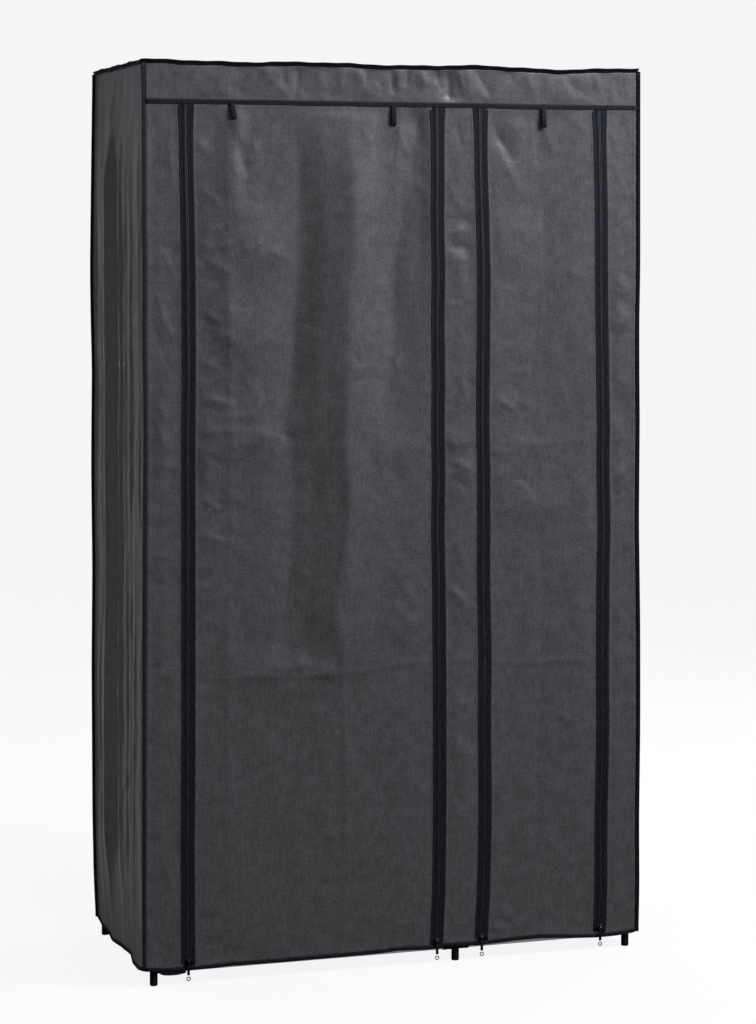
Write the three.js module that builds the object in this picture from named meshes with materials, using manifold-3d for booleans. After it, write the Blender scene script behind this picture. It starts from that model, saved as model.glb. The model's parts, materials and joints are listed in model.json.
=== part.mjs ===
// Portable fabric wardrobe: a steel tube frame in plastic connectors under a zipped cloth
// cover. Millimetres, +Z up, the front faces -Y, the origin is on the floor under the middle.
// The left section holds the clothes rail, the right section holds the shelves.
import * as THREE from "three";
import { mergeVertices } from "three/addons/utils/BufferGeometryUtils.js";
import Module from "manifold-3d";

const wasm = await Module();
wasm.setup();

// Cover, measured over its bound edges; the left door takes the width that is left
const WIDTH = 1000;
const DEPTH = 450;
const HEIGHT = 1750;
const LEFT_STRIP = 80;
const CENTRE_STRIP = 93;
const RIGHT_DOOR = 251;
const RIGHT_STRIP = 76;
const BAND_HEIGHT = 77;
const CLOTH = 0.8;
const CLEARANCE = 0.3;

// Bound edge round the top: how far it stands out, how tall it is, how far it stands over the roof
const EDGE_PROUD = 6;
const EDGE_HEIGHT = 8;
const ROOF_DROP = 5.9;
const EDGE_SAG = 5;

// Lower edges of the cover
const HEM_BOTTOM = 28;
const HEM_HEIGHT = 8;
const HEM_THICKNESS = 2.4;
const STRIP_DIP = 11;
const SIDE_HEM = 32;
const SIDE_HEM_WAVE = 7;

// Heights of the folds in the cloth
const SIDE_FOLD = 5.5;
const LEFT_DOOR_FOLD = 3.5;
const RIGHT_DOOR_FOLD = 2.2;
const BACK_FOLD = 2.8;
const BAND_FOLD = 1.6;
const STRIP_FOLD = 1.4;
const ROOF_SAG = 5;
const SHELF_SAG = 8;
const FLOOR_SAG = 3;

// Frame tube, the plastic sockets that hold it, and the slack between sockets and cover
const TUBE_RADIUS = 6.5;
const TUBE_WALL = 0.8;
const SOCKET_WALL = 1.2;
const SOCKET_REACH = 26;
const SOCKET_FLOOR = 10;
const SIDE_SLACK = 1.2;
const FRONT_SLACK = 4.2;
const MIDDLE_SHIFT = 3.5;
const FOOT_HEIGHT = 21.5;
const FOOT_RADIUS = 7.5;
const FOOT_EDGE = 1;
const RAIL_SLEEVE = 14;
const COLLAR_HEIGHT = 32;
const CUT_OVERRUN = 2;

// Zips: half tapes with a coil on the inner edge, parted by the slider's bridge
const TAPE_HALF = 14;
const TAPE_THICKNESS = 0.8;
const COIL_PARTING = 3;
const COIL_WIDTH = 1.6;
const COIL_DEPTH = 1.5;
const SLIDER_LENGTH = 12;
const SLIDER_WIDTH = 11;
const SLIDER_PLATE = 1.3;
const SLIDER_BRIDGE = 2.2;
const SLIDER_ABOVE_HEM = 1;
const BAIL_WIDTH = 2.4;
const BAIL_LENGTH = 8;
const BAIL_ROOM = 2.4;
const BAIL_WALL = 1.1;
const BAIL_TAPER = 0.8;
const PULL_THICKNESS = 1.5;
const PULL_WIDTH = 5.4;
const PULL_REACH = 36;
const PULL_BAR = 1.5;
const PULL_SIDE = 1.1;
const PULL_WINDOW = 4.45;
const RING_RADIUS = 4.3;
const EYE_RADIUS = 2.5;

// Ribbon loops that tie a rolled door
const TIE_WIDTH = 9.5;
const TIE_LENGTH = 38;
const TIE_RIBBON = 0.8;
const TIE_OPEN = 2.4;
const TIE_DROP = 5;

// Counts
const SHELF_COUNT = 2;
const TUBE_SIDES = 12;
const ARC_STEPS = 6;

// Folds as rows of [place, lean from foot to top, half width, height], shares of the panel
const leftSideFoldShares = [
  [0.26, -0.02, 0.06, 0.25],
  [0.41, -0.05, 0.26, 0.5],
  [0.67, -0.12, 0.23, -1.5],
  [0.86, -0.03, 0.09, 0.35],
];
const rightSideFoldShares = [
  [0.2, 0.03, 0.13, -0.8],
  [0.42, 0.05, 0.16, 0.6],
  [0.63, 0.02, 0.17, -1.2],
  [0.85, -0.02, 0.12, 0.5],
];
const leftDoorFoldShares = [
  [0.13, 0.02, 0.1, 0.8],
  [0.31, -0.02, 0.12, -0.9],
  [0.52, 0.01, 0.13, 0.85],
  [0.7, 0.02, 0.11, -1],
  [0.86, 0, 0.1, 0.6],
];
const rightDoorFoldShares = [
  [0.24, 0.03, 0.2, 0.9],
  [0.52, 0, 0.2, -1],
  [0.78, -0.02, 0.18, 0.8],
];
const backFoldShares = [
  [0.1, 0.01, 0.09, 0.8],
  [0.27, -0.02, 0.1, -1],
  [0.45, 0.02, 0.1, 0.9],
  [0.63, 0, 0.09, -0.9],
  [0.8, 0.01, 0.1, 1],
];
const bandFoldShares = [
  [0.12, 0, 0.06, 0.6],
  [0.3, 0, 0.06, -0.8],
  [0.44, 0, 0.05, 0.9],
  [0.6, 0, 0.06, -1],
  [0.85, 0, 0.07, 0.7],
];
const stripFoldShares = [
  [0.35, 0.04, 0.3, 1],
  [0.72, -0.04, 0.25, -0.8],
];
// Dips of the front's bound top edge as rows of [place, half width, depth]
const edgeDipShares = [
  [0.18, 0.15, 0.5],
  [0.5, 0.18, 0.6],
  [0.82, 0.16, 1],
];
// Places along a tie where its two ribbons part, swell, lie widest apart and turn back
const tieShares = { part: 0.3, ease: 0.4, swell: 0.55, hollow: 0.6, widest: 0.82, turn: 0.9 };
// How far the wide door's ties lie from its middle
const tieSpreadShare = 0.322;
const SIDE_HEM_WAVES = 1.7;
const sideHemPeakShare = 0.37;
const foldFadeShare = 0.6;

// Places worked out from the sizes above
const COVER_X = WIDTH / 2 - EDGE_PROUD;
const COVER_Y = DEPTH / 2 - EDGE_PROUD;
const PANEL_TOP = HEIGHT - EDGE_HEIGHT - CLEARANCE;
const SEAM_Z = HEIGHT - BAND_HEIGHT;
const DOOR_TOP = SEAM_Z - CLEARANCE;
const DOOR_BOTTOM = HEM_BOTTOM + HEM_HEIGHT + CLEARANCE;
const BORE_RADIUS = TUBE_RADIUS + CLEARANCE;
const SOCKET_RADIUS = BORE_RADIUS + SOCKET_WALL;
const POST_X = COVER_X - CLOTH - SIDE_SLACK - SOCKET_RADIUS;
const POST_Y = COVER_Y - CLOTH - FRONT_SLACK - SOCKET_RADIUS;
const BASE_Z = FOOT_HEIGHT + SOCKET_RADIUS;
const TOP_Z = HEIGHT - ROOF_DROP - CLOTH - CLEARANCE - SOCKET_RADIUS;
const TUBE_START = SOCKET_FLOOR + CLEARANCE;
const CLOTH_START = SOCKET_REACH + CLEARANCE;

// Zip lines from left to right; a zip's door lies on the side that door gives
const ZIPS = [
  { name: "left_door_outer", x: -WIDTH / 2 + LEFT_STRIP, door: 1 },
  { name: "left_door_inner", x: WIDTH / 2 - RIGHT_STRIP - RIGHT_DOOR - CENTRE_STRIP, door: -1 },
  { name: "right_door_inner", x: WIDTH / 2 - RIGHT_STRIP - RIGHT_DOOR, door: 1 },
  { name: "right_door_outer", x: WIDTH / 2 - RIGHT_STRIP, door: -1 },
];
const MIDDLE_X = (ZIPS[1].x + ZIPS[2].x) / 2 - MIDDLE_SHIFT;
const COLUMNS = [
  { name: "left", x: -POST_X },
  { name: "middle", x: MIDDLE_X },
  { name: "right", x: POST_X },
];
const ROWS = [
  { name: "front", y: -POST_Y },
  { name: "back", y: POST_Y },
];

// Colours and surfaces of the materials
const FINISHES = {
  cloth: { color: 0x4b4a4f, roughness: 0.95, metalness: 0 },
  binding: { color: 0x1b1b21, roughness: 0.85, metalness: 0 },
  tape: { color: 0x1d1e23, roughness: 0.8, metalness: 0 },
  steel: { color: 0xb9bbbd, roughness: 0.4, metalness: 0.6 },
  plastic: { color: 0x17171a, roughness: 0.55, metalness: 0 },
  hardware: { color: 0x26262a, roughness: 0.45, metalness: 0.5 },
};

function addPiece(group, name, geometry, finish, x = 0, y = 0, z = 0) {
  const mesh = new THREE.Mesh(geometry, new THREE.MeshStandardMaterial(FINISHES[finish]));
  mesh.name = name;
  mesh.position.set(x, y, z);
  group.add(mesh);
}

// Solids for cutting and joining
function toSolid(geometry) {
  const bare = geometry.clone();
  bare.deleteAttribute("normal");
  bare.deleteAttribute("uv");
  const merged = mergeVertices(bare);
  return new wasm.Manifold(
    new wasm.Mesh({
      numProp: 3,
      vertProperties: new Float32Array(merged.attributes.position.array),
      triVerts: new Uint32Array(merged.index.array),
    }),
  );
}

function toGeometry(solid) {
  const mesh = solid.getMesh();
  const geometry = new THREE.BufferGeometry();
  geometry.setAttribute("position", new THREE.BufferAttribute(mesh.vertProperties, 3));
  geometry.setIndex(Array.from(mesh.triVerts));
  geometry.computeVertexNormals();
  return geometry;
}

function joined(pieces, cuts = []) {
  const whole = pieces.map(toSolid).reduce((a, b) => a.add(b));
  return toGeometry(cuts.map(toSolid).reduce((a, b) => a.subtract(b), whole));
}

// A round bar along one axis
function bar(axis, radius, start, end) {
  const low = Math.min(start, end);
  const length = Math.abs(end - start);
  const geometry = new THREE.CylinderGeometry(radius, radius, length, TUBE_SIDES);
  geometry.translate(0, low + length / 2, 0);
  if (axis === "x") geometry.rotateZ(-Math.PI / 2);
  if (axis === "z") geometry.rotateX(Math.PI / 2);
  return geometry;
}

// An open steel tube that starts at the origin and runs along one axis
function steelTube(axis, length) {
  const ring = new THREE.Shape();
  ring.absarc(0, 0, TUBE_RADIUS, 0, 2 * Math.PI, false);
  const hollow = new THREE.Path();
  hollow.absarc(0, 0, TUBE_RADIUS - TUBE_WALL, 0, 2 * Math.PI, false);
  ring.holes.push(hollow);
  const geometry = new THREE.ExtrudeGeometry(ring, {
    depth: length,
    bevelEnabled: false,
    curveSegments: TUBE_SIDES / 2,
  });
  if (axis === "x") geometry.rotateY(Math.PI / 2);
  return geometry;
}

// An outline drawn in Y and Z, extruded to both sides of X = 0
function crossExtrude(outline, width, steps = ARC_STEPS) {
  const geometry = new THREE.ExtrudeGeometry(outline, {
    depth: width,
    bevelEnabled: false,
    curveSegments: steps,
  });
  geometry.translate(0, 0, -width / 2);
  const turn = new THREE.Matrix4().makeBasis(
    new THREE.Vector3(0, 1, 0),
    new THREE.Vector3(0, 0, 1),
    new THREE.Vector3(1, 0, 0),
  );
  return geometry.applyMatrix4(turn);
}

// Cloth: a thin box whose face is laid over place(across, up), thickened along its outward side
function clothSheet(columns, rows, place) {
  const geometry = new THREE.BoxGeometry(1, 1, 1, columns, rows, 1);
  const spots = geometry.attributes.position;
  for (let i = 0; i < spots.count; i += 1) {
    const spot = place(spots.getX(i) + 0.5, spots.getY(i) + 0.5, spots.getZ(i) * CLOTH);
    spots.setXYZ(i, spot.x, spot.y, spot.z);
  }
  geometry.computeVertexNormals();
  return geometry;
}

function bump(offset) {
  return Math.abs(offset) < 1 ? Math.cos((offset * Math.PI) / 2) ** 2 : 0;
}

function foldShare(shares, across, up) {
  const fade = Math.sin(Math.PI * Math.min(Math.max(up, 0), 1)) ** foldFadeShare;
  const rows = shares.map(([place, lean, reach, height]) => {
    return height * bump((across - place - lean * (up - 0.5)) / reach);
  });
  return fade * rows.reduce((a, b) => a + b, 0);
}

function edgeDip(x) {
  const across = x / WIDTH + 0.5;
  const rows = edgeDipShares.map(([place, reach, depth]) => depth * bump((across - place) / reach));
  return EDGE_SAG * rows.reduce((a, b) => a + b, 0);
}

// A panel of the front between two places on X; bottom(share) and top(x) give its edges.
// Its top row of cells, calm high, stays flat behind the ties
function frontPanel({ from, to, bottom, top, columns, rows, shares, fold, calm }) {
  const last = (rows - 1) / rows;
  return clothSheet(columns, rows, (across, up, lift) => {
    const x = THREE.MathUtils.lerp(from, to, across);
    const folded = Math.min(up / last, 1);
    const low = bottom(across);
    const high = top(x);
    const z = up > last ? high - (1 - up) * rows * calm : THREE.MathUtils.lerp(low, high - calm, folded);
    const out = COVER_Y - CLOTH / 2 + fold * foldShare(shares, across, folded) + lift;
    return new THREE.Vector3(x, -out, z);
  });
}

// side is -1 for the left panel and 1 for the right one; depth shares run from front to back
function sidePanel(side, shares) {
  return clothSheet(16, 12, (across, up, lift) => {
    const share = side > 0 ? across : 1 - across;
    const wave = Math.cos(2 * Math.PI * SIDE_HEM_WAVES * (share - sideHemPeakShare));
    const z = THREE.MathUtils.lerp(SIDE_HEM + SIDE_HEM_WAVE * wave, PANEL_TOP, up);
    const out = COVER_X - CLOTH / 2 + SIDE_FOLD * foldShare(shares, share, up) + lift;
    return new THREE.Vector3(side * out, THREE.MathUtils.lerp(-COVER_Y, COVER_Y, share), z);
  });
}

function backPanel() {
  const reach = COVER_X - CLOTH - CLEARANCE;
  return clothSheet(22, 8, (across, up, lift) => {
    const z = THREE.MathUtils.lerp(HEM_BOTTOM, PANEL_TOP, up);
    const out = COVER_Y - CLOTH / 2 + BACK_FOLD * foldShare(backFoldShares, across, up) + lift;
    return new THREE.Vector3(THREE.MathUtils.lerp(reach, -reach, across), out, z);
  });
}

// How far cloth sags between two supports, 0 at each and 1 midway
function sagShare(place, low, high) {
  const share = (place - low) / (high - low);
  return share > 0 && share < 1 ? Math.sin(Math.PI * share) ** 2 : 0;
}

function roof() {
  const reachX = COVER_X - CLOTH - CLEARANCE;
  const reachY = COVER_Y - CLOTH - CLEARANCE;
  return clothSheet(16, 8, (across, up, lift) => {
    const x = THREE.MathUtils.lerp(-reachX, reachX, across);
    const y = THREE.MathUtils.lerp(-reachY, reachY, up);
    const left = sagShare(x, -POST_X, MIDDLE_X) * sagShare(Math.abs(y), 0, POST_Y);
    const right = sagShare(x, MIDDLE_X, POST_X) * sagShare(y, -POST_Y, POST_Y);
    return new THREE.Vector3(x, y, HEIGHT - ROOF_DROP - CLOTH / 2 - ROOF_SAG * (left + right) + lift);
  });
}

// A rectangle with points along its sides, so that the long sides can be bent
function rectanglePoints(reachX, reachY, columns, rows) {
  const corners = [
    [-reachX, -reachY, columns],
    [reachX, -reachY, rows],
    [reachX, reachY, columns],
    [-reachX, reachY, rows],
  ];
  return corners.flatMap(([x, y, steps], index) => {
    const [nextX, nextY] = corners[(index + 1) % corners.length];
    return Array.from({ length: steps }, (_, step) => {
      const share = step / steps;
      return new THREE.Vector2(x + (nextX - x) * share, y + (nextY - y) * share);
    });
  });
}

// The bound edge round the top, with the dips of its front side
function topPiping() {
  const innerY = COVER_Y - CLOTH;
  const outline = new THREE.Shape(rectanglePoints(WIDTH / 2, DEPTH / 2, 20, 6));
  outline.holes.push(new THREE.Path(rectanglePoints(COVER_X - CLOTH, innerY, 20, 6)));
  const geometry = new THREE.ExtrudeGeometry(outline, { depth: EDGE_HEIGHT, bevelEnabled: false });
  const spots = geometry.attributes.position;
  for (let i = 0; i < spots.count; i += 1) {
    const dip = spots.getY(i) <= -innerY ? edgeDip(spots.getX(i)) : 0;
    spots.setZ(i, spots.getZ(i) - dip);
  }
  geometry.computeVertexNormals();
  return geometry;
}

function straight(height) {
  return () => height;
}

function addCover(group) {
  const stripEdge = COVER_X - CLOTH - CLEARANCE;
  const clothGap = TAPE_HALF + CLEARANCE;
  const [outerLeft, innerLeft, innerRight, outerRight] = ZIPS.map((zip) => zip.x);
  addPiece(group, "cover_roof", roof(), "cloth");
  addPiece(group, "cover_left_side", sidePanel(-1, leftSideFoldShares), "cloth");
  addPiece(group, "cover_right_side", sidePanel(1, rightSideFoldShares), "cloth");
  addPiece(group, "cover_back", backPanel(), "cloth");
  addPiece(group, "cover_top_piping", topPiping(), "binding", 0, 0, HEIGHT - EDGE_HEIGHT);
  const panels = [
    {
      name: "cover_top_band",
      from: -stripEdge,
      to: stripEdge,
      bottom: straight(SEAM_Z),
      top: (x) => PANEL_TOP - edgeDip(x),
      calm: EDGE_HEIGHT,
      columns: 20,
      rows: 3,
      shares: bandFoldShares,
      fold: BAND_FOLD,
    },
    {
      name: "front_left_strip",
      from: -stripEdge,
      to: outerLeft - clothGap,
      bottom: (share) => HEM_BOTTOM - STRIP_DIP * Math.sin(Math.PI * share),
      columns: 4,
      rows: 10,
      shares: stripFoldShares,
      fold: STRIP_FOLD,
    },
    {
      name: "front_centre_strip",
      from: innerLeft + clothGap,
      to: innerRight - clothGap,
      bottom: straight(HEM_BOTTOM),
      columns: 4,
      rows: 10,
      shares: stripFoldShares,
      fold: STRIP_FOLD,
    },
    {
      name: "front_right_strip",
      from: outerRight + clothGap,
      to: stripEdge,
      bottom: straight(HEM_BOTTOM),
      columns: 4,
      rows: 10,
      shares: stripFoldShares,
      fold: STRIP_FOLD,
    },
    {
      name: "left_door",
      from: outerLeft + clothGap,
      to: innerLeft - clothGap,
      bottom: straight(DOOR_BOTTOM),
      columns: 20,
      rows: 10,
      shares: leftDoorFoldShares,
      fold: LEFT_DOOR_FOLD,
    },
    {
      name: "right_door",
      from: innerRight + clothGap,
      to: outerRight - clothGap,
      bottom: straight(DOOR_BOTTOM),
      columns: 12,
      rows: 10,
      shares: rightDoorFoldShares,
      fold: RIGHT_DOOR_FOLD,
    },
  ];
  const below = { top: straight(DOOR_TOP), calm: TIE_DROP + TIE_LENGTH + TIE_WIDTH };
  for (const panel of panels) {
    addPiece(group, panel.name, frontPanel({ ...below, ...panel }), "cloth");
  }
  addHem(group, "left_door_hem", outerLeft, innerLeft);
  addHem(group, "right_door_hem", innerRight, outerRight);
}

// The binding under a door, from coil to coil
function addHem(group, name, from, to) {
  const width = to - from - COIL_PARTING;
  const geometry = new THREE.BoxGeometry(width, HEM_THICKNESS, HEM_HEIGHT);
  const y = -COVER_Y + (HEM_THICKNESS - CLOTH) / 2;
  addPiece(group, name, geometry, "binding", (from + to) / 2, y, HEM_BOTTOM + HEM_HEIGHT / 2);
}

// One half of a zip in plan: flat tape with the coil behind its inner edge; side is -1 or 1
function halfTape(side, bottom) {
  const inner = (side * COIL_PARTING) / 2;
  const outline = new THREE.Shape([
    new THREE.Vector2(inner, -COVER_Y),
    new THREE.Vector2(side * TAPE_HALF, -COVER_Y),
    new THREE.Vector2(side * TAPE_HALF, -COVER_Y + TAPE_THICKNESS),
    new THREE.Vector2(inner + side * COIL_WIDTH, -COVER_Y + TAPE_THICKNESS),
    new THREE.Vector2(inner + side * COIL_WIDTH, -COVER_Y + COIL_DEPTH),
    new THREE.Vector2(inner, -COVER_Y + COIL_DEPTH),
  ]);
  return new THREE.ExtrudeGeometry(outline, { depth: DOOR_TOP - bottom, bevelEnabled: false });
}

// The slider in plan is an H round the tape; its foot is at Z = 0
function slider() {
  const frontIn = -COVER_Y - CLEARANCE;
  const frontOut = frontIn - SLIDER_PLATE;
  const backIn = -COVER_Y + COIL_DEPTH + CLEARANCE;
  const backOut = backIn + SLIDER_PLATE;
  const half = SLIDER_WIDTH / 2;
  const bridge = SLIDER_BRIDGE / 2;
  const right = [
    [half, frontOut],
    [half, frontIn],
    [bridge, frontIn],
    [bridge, backIn],
    [half, backIn],
    [half, backOut],
  ];
  const left = right.map(([x, y]) => [-x, y]).reverse();
  const plan = new THREE.Shape([...right, ...left].map(([x, y]) => new THREE.Vector2(x, y)));
  const body = new THREE.ExtrudeGeometry(plan, { depth: SLIDER_LENGTH, bevelEnabled: false });
  const foot = frontOut + SLIDER_PLATE / 2;
  const roomEnd = frontOut - BAIL_ROOM;
  const outer = BAIL_LENGTH / 2;
  const inner = outer - BAIL_WALL;
  const bail = new THREE.Shape(
    [
      [foot, -outer],
      [roomEnd - BAIL_WALL, -outer + BAIL_TAPER],
      [roomEnd - BAIL_WALL, outer - BAIL_TAPER],
      [foot, outer],
      [foot, inner],
      [roomEnd, inner],
      [roomEnd, -inner],
      [foot, -inner],
    ].map(([y, z]) => new THREE.Vector2(y, z)),
  );
  const arch = crossExtrude(bail, BAIL_WIDTH);
  arch.translate(0, 0, SLIDER_LENGTH / 2);
  return joined([body, arch]);
}

// The pull hangs from its bar, whose middle is the origin, and ends in a round eye
function pull() {
  const half = PULL_WIDTH / 2;
  const ring = RING_RADIUS - PULL_REACH;
  const spread = Math.asin(half / RING_RADIUS);
  const outline = new THREE.Shape();
  outline.moveTo(half, PULL_BAR / 2);
  outline.lineTo(-half, PULL_BAR / 2);
  outline.lineTo(-half, ring + RING_RADIUS * Math.cos(spread));
  outline.absarc(0, ring, RING_RADIUS, Math.PI / 2 + spread, 2.5 * Math.PI - spread, false);
  outline.closePath();
  const window = half - PULL_SIDE;
  const corners = [
    [window, -PULL_BAR / 2],
    [-window, -PULL_BAR / 2],
    [-window, -PULL_BAR / 2 - PULL_WINDOW],
    [window, -PULL_BAR / 2 - PULL_WINDOW],
  ];
  outline.holes.push(new THREE.Path(corners.map(([x, z]) => new THREE.Vector2(x, z))));
  const eye = new THREE.Path();
  eye.absarc(0, ring, EYE_RADIUS, 0, 2 * Math.PI, false);
  outline.holes.push(eye);
  const geometry = new THREE.ExtrudeGeometry(outline, {
    depth: PULL_THICKNESS,
    bevelEnabled: false,
    curveSegments: ARC_STEPS,
  });
  geometry.translate(0, 0, -PULL_THICKNESS / 2);
  return geometry.rotateX(Math.PI / 2);
}

function addZips(group) {
  const sliderZ = HEM_BOTTOM + HEM_HEIGHT + SLIDER_ABOVE_HEM;
  const pivotY = -COVER_Y - CLEARANCE - SLIDER_PLATE - BAIL_ROOM / 2;
  for (const { name, x, door } of ZIPS) {
    const fixed = halfTape(-door, HEM_BOTTOM);
    const moving = halfTape(door, DOOR_BOTTOM);
    addPiece(group, `${name}_zip_fixed_tape`, fixed, "tape", x, 0, HEM_BOTTOM);
    addPiece(group, `${name}_zip_door_tape`, moving, "tape", x, 0, DOOR_BOTTOM);
    addPiece(group, `${name}_zip_slider`, slider(), "hardware", x, 0, sliderZ);
    addPiece(group, `${name}_zip_pull`, pull(), "hardware", x, pivotY, sliderZ + SLIDER_LENGTH / 2);
  }
}

// A folded ribbon that hangs from the origin, flat behind and bellied in front
function tieLoop() {
  const top = TIE_RIBBON + CLEARANCE;
  const front = -top - TIE_OPEN;
  const { part, ease, swell, hollow, widest, turn } = tieShares;
  const down = (share) => -TIE_LENGTH * share;
  const outline = new THREE.Shape();
  outline.moveTo(top, 0);
  outline.absarc(0, 0, top, 0, Math.PI, false);
  outline.bezierCurveTo(-top, down(ease), front, down(swell), front, down(widest));
  outline.quadraticCurveTo(front, -TIE_LENGTH, -TIE_RIBBON, -TIE_LENGTH);
  outline.quadraticCurveTo(top, -TIE_LENGTH, top, down(turn));
  outline.closePath();
  const back = top - TIE_RIBBON;
  const gapFront = front + TIE_RIBBON;
  const hole = new THREE.Path();
  hole.moveTo(back, down(part));
  hole.quadraticCurveTo(gapFront, down(hollow), gapFront, down(widest));
  hole.quadraticCurveTo(gapFront, TIE_RIBBON - TIE_LENGTH, back, down(turn));
  hole.closePath();
  outline.holes.push(hole);
  return crossExtrude(outline, TIE_WIDTH);
}

function addTies(group) {
  const leftMiddle = (ZIPS[0].x + ZIPS[1].x) / 2;
  const rightMiddle = (ZIPS[2].x + ZIPS[3].x) / 2;
  const spread = tieSpreadShare * (ZIPS[1].x - ZIPS[0].x);
  const places = [
    ["left_door_tie_outer", leftMiddle - spread],
    ["left_door_tie_inner", leftMiddle + spread],
    ["right_door_tie", rightMiddle],
  ];
  const y = -COVER_Y - CLEARANCE - TIE_RIBBON - CLEARANCE;
  for (const [name, x] of places) {
    addPiece(group, name, tieLoop(), "binding", x, y, SEAM_Z - TIE_DROP);
  }
}

// The sockets of one connector round its own middle, and the bores that open them
function socketArms(arms) {
  const sleeves = arms.map(([axis, side]) => bar(axis, SOCKET_RADIUS, 0, side * SOCKET_REACH));
  const bores = arms.map(([axis, side]) => {
    return bar(axis, BORE_RADIUS, side * SOCKET_FLOOR, side * (SOCKET_REACH + CUT_OVERRUN));
  });
  return { sleeves, bores };
}

function shifted(geometries, y) {
  return geometries.map((geometry) => geometry.clone().translate(0, y, 0));
}

// Front and back connector of one column joined by the tube between them, centred on that tube.
// rise is 1 where the posts stand up from it and -1 where they hang below; sides lists where
// the cross rails go
function sideFrame(rise, sides, extras) {
  const pieces = [bar("y", TUBE_RADIUS, -POST_Y, POST_Y), ...extras.pieces];
  const cuts = [...extras.cuts];
  for (const { y } of ROWS) {
    const inward = -Math.sign(y);
    const arms = socketArms([["z", rise], ...sides.map((side) => ["x", side])]);
    const sleeve = bar("y", SOCKET_RADIUS, -inward * SOCKET_RADIUS, inward * SOCKET_REACH);
    pieces.push(...shifted([...arms.sleeves, sleeve], y));
    cuts.push(...shifted(arms.bores, y));
  }
  return joined(pieces, cuts);
}

function foot() {
  const profile = [
    [0, -BASE_Z],
    [FOOT_RADIUS - FOOT_EDGE, -BASE_Z],
    [FOOT_RADIUS, FOOT_EDGE - BASE_Z],
    [FOOT_RADIUS, 0],
    [0, 0],
  ].map(([radius, z]) => new THREE.Vector2(radius, z));
  return new THREE.LatheGeometry(profile, TUBE_SIDES).rotateX(Math.PI / 2);
}

function baseSideFrame(sides) {
  const feet = ROWS.flatMap(({ y }) => shifted([foot()], y));
  return sideFrame(1, sides, { pieces: feet, cuts: [] });
}

// The two top frames beside the clothes rail carry a sleeve with a socket for its end
function topSideFrame(sides, railSides) {
  const arms = socketArms(railSides.map((side) => ["x", side]));
  const sleeves = railSides.map(() => bar("y", SOCKET_RADIUS, -RAIL_SLEEVE, RAIL_SLEEVE));
  return sideFrame(-1, sides, { pieces: [...arms.sleeves, ...sleeves], cuts: arms.bores });
}

function addFrame(group) {
  const [left, middle, right] = COLUMNS;
  const inwardSides = { left: [1], middle: [-1, 1], right: [-1] };
  const clothesRailSides = { left: [1], middle: [-1], right: [] };
  const postLength = TOP_Z - BASE_Z - 2 * TUBE_START;
  for (const { name, x } of COLUMNS) {
    addPiece(group, `base_side_frame_${name}`, baseSideFrame(inwardSides[name]), "plastic", x, 0, BASE_Z);
    const top = topSideFrame(inwardSides[name], clothesRailSides[name]);
    addPiece(group, `top_side_frame_${name}`, top, "plastic", x, 0, TOP_Z);
    for (const row of ROWS) {
      const post = steelTube("z", postLength);
      addPiece(group, `post_${row.name}_${name}`, post, "steel", x, row.y, BASE_Z + TUBE_START);
    }
  }
  const bays = [
    ["left", left.x, middle.x],
    ["right", middle.x, right.x],
  ];
  for (const [bay, from, to] of bays) {
    const length = to - from - 2 * TUBE_START;
    const start = from + TUBE_START;
    for (const { name, y } of ROWS) {
      addPiece(group, `base_rail_${name}_${bay}`, steelTube("x", length), "steel", start, y, BASE_Z);
      addPiece(group, `top_rail_${name}_${bay}`, steelTube("x", length), "steel", start, y, TOP_Z);
    }
  }
  const railLength = middle.x - left.x - 2 * TUBE_START;
  addPiece(group, "clothes_rail", steelTube("x", railLength), "steel", left.x + TUBE_START, 0, TOP_Z);
}

// A shelf's rail with the collars that slide over the posts, from the left post's axis
function shelfRail(length) {
  const pieces = [bar("x", TUBE_RADIUS, 0, length)];
  const cuts = [];
  for (const [x, inward] of [[0, 1], [length, -1]]) {
    const collar = bar("z", SOCKET_RADIUS, -COLLAR_HEIGHT / 2, COLLAR_HEIGHT / 2);
    const reach = COLLAR_HEIGHT / 2 + CUT_OVERRUN;
    pieces.push(collar.translate(x, 0, 0));
    pieces.push(bar("x", SOCKET_RADIUS, x, x + inward * SOCKET_REACH));
    cuts.push(bar("z", BORE_RADIUS, -reach, reach).translate(x, 0, 0));
  }
  return joined(pieces, cuts);
}

// Shelf cloth in section: a sleeve round each rail and the deck that sags between them
function shelfCloth(width) {
  const sleeve = BORE_RADIUS + CLOTH;
  const turn = Math.PI / 3;
  const under = [POST_Y - sleeve * Math.cos(turn), sleeve * Math.sin(turn)];
  const outline = new THREE.Shape();
  outline.moveTo(-POST_Y, sleeve);
  outline.absarc(-POST_Y, 0, sleeve, Math.PI / 2, 2 * Math.PI + turn, false);
  outline.quadraticCurveTo(0, under[1] - 2 * SHELF_SAG, under[0], under[1]);
  outline.absarc(POST_Y, 0, sleeve, Math.PI - turn, 2.5 * Math.PI, false);
  outline.quadraticCurveTo(0, sleeve - 2 * SHELF_SAG, -POST_Y, sleeve);
  for (const { y } of ROWS) {
    const hole = new THREE.Path();
    hole.absarc(y, 0, BORE_RADIUS, 0, 2 * Math.PI, false);
    outline.holes.push(hole);
  }
  return crossExtrude(outline, width);
}

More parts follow.
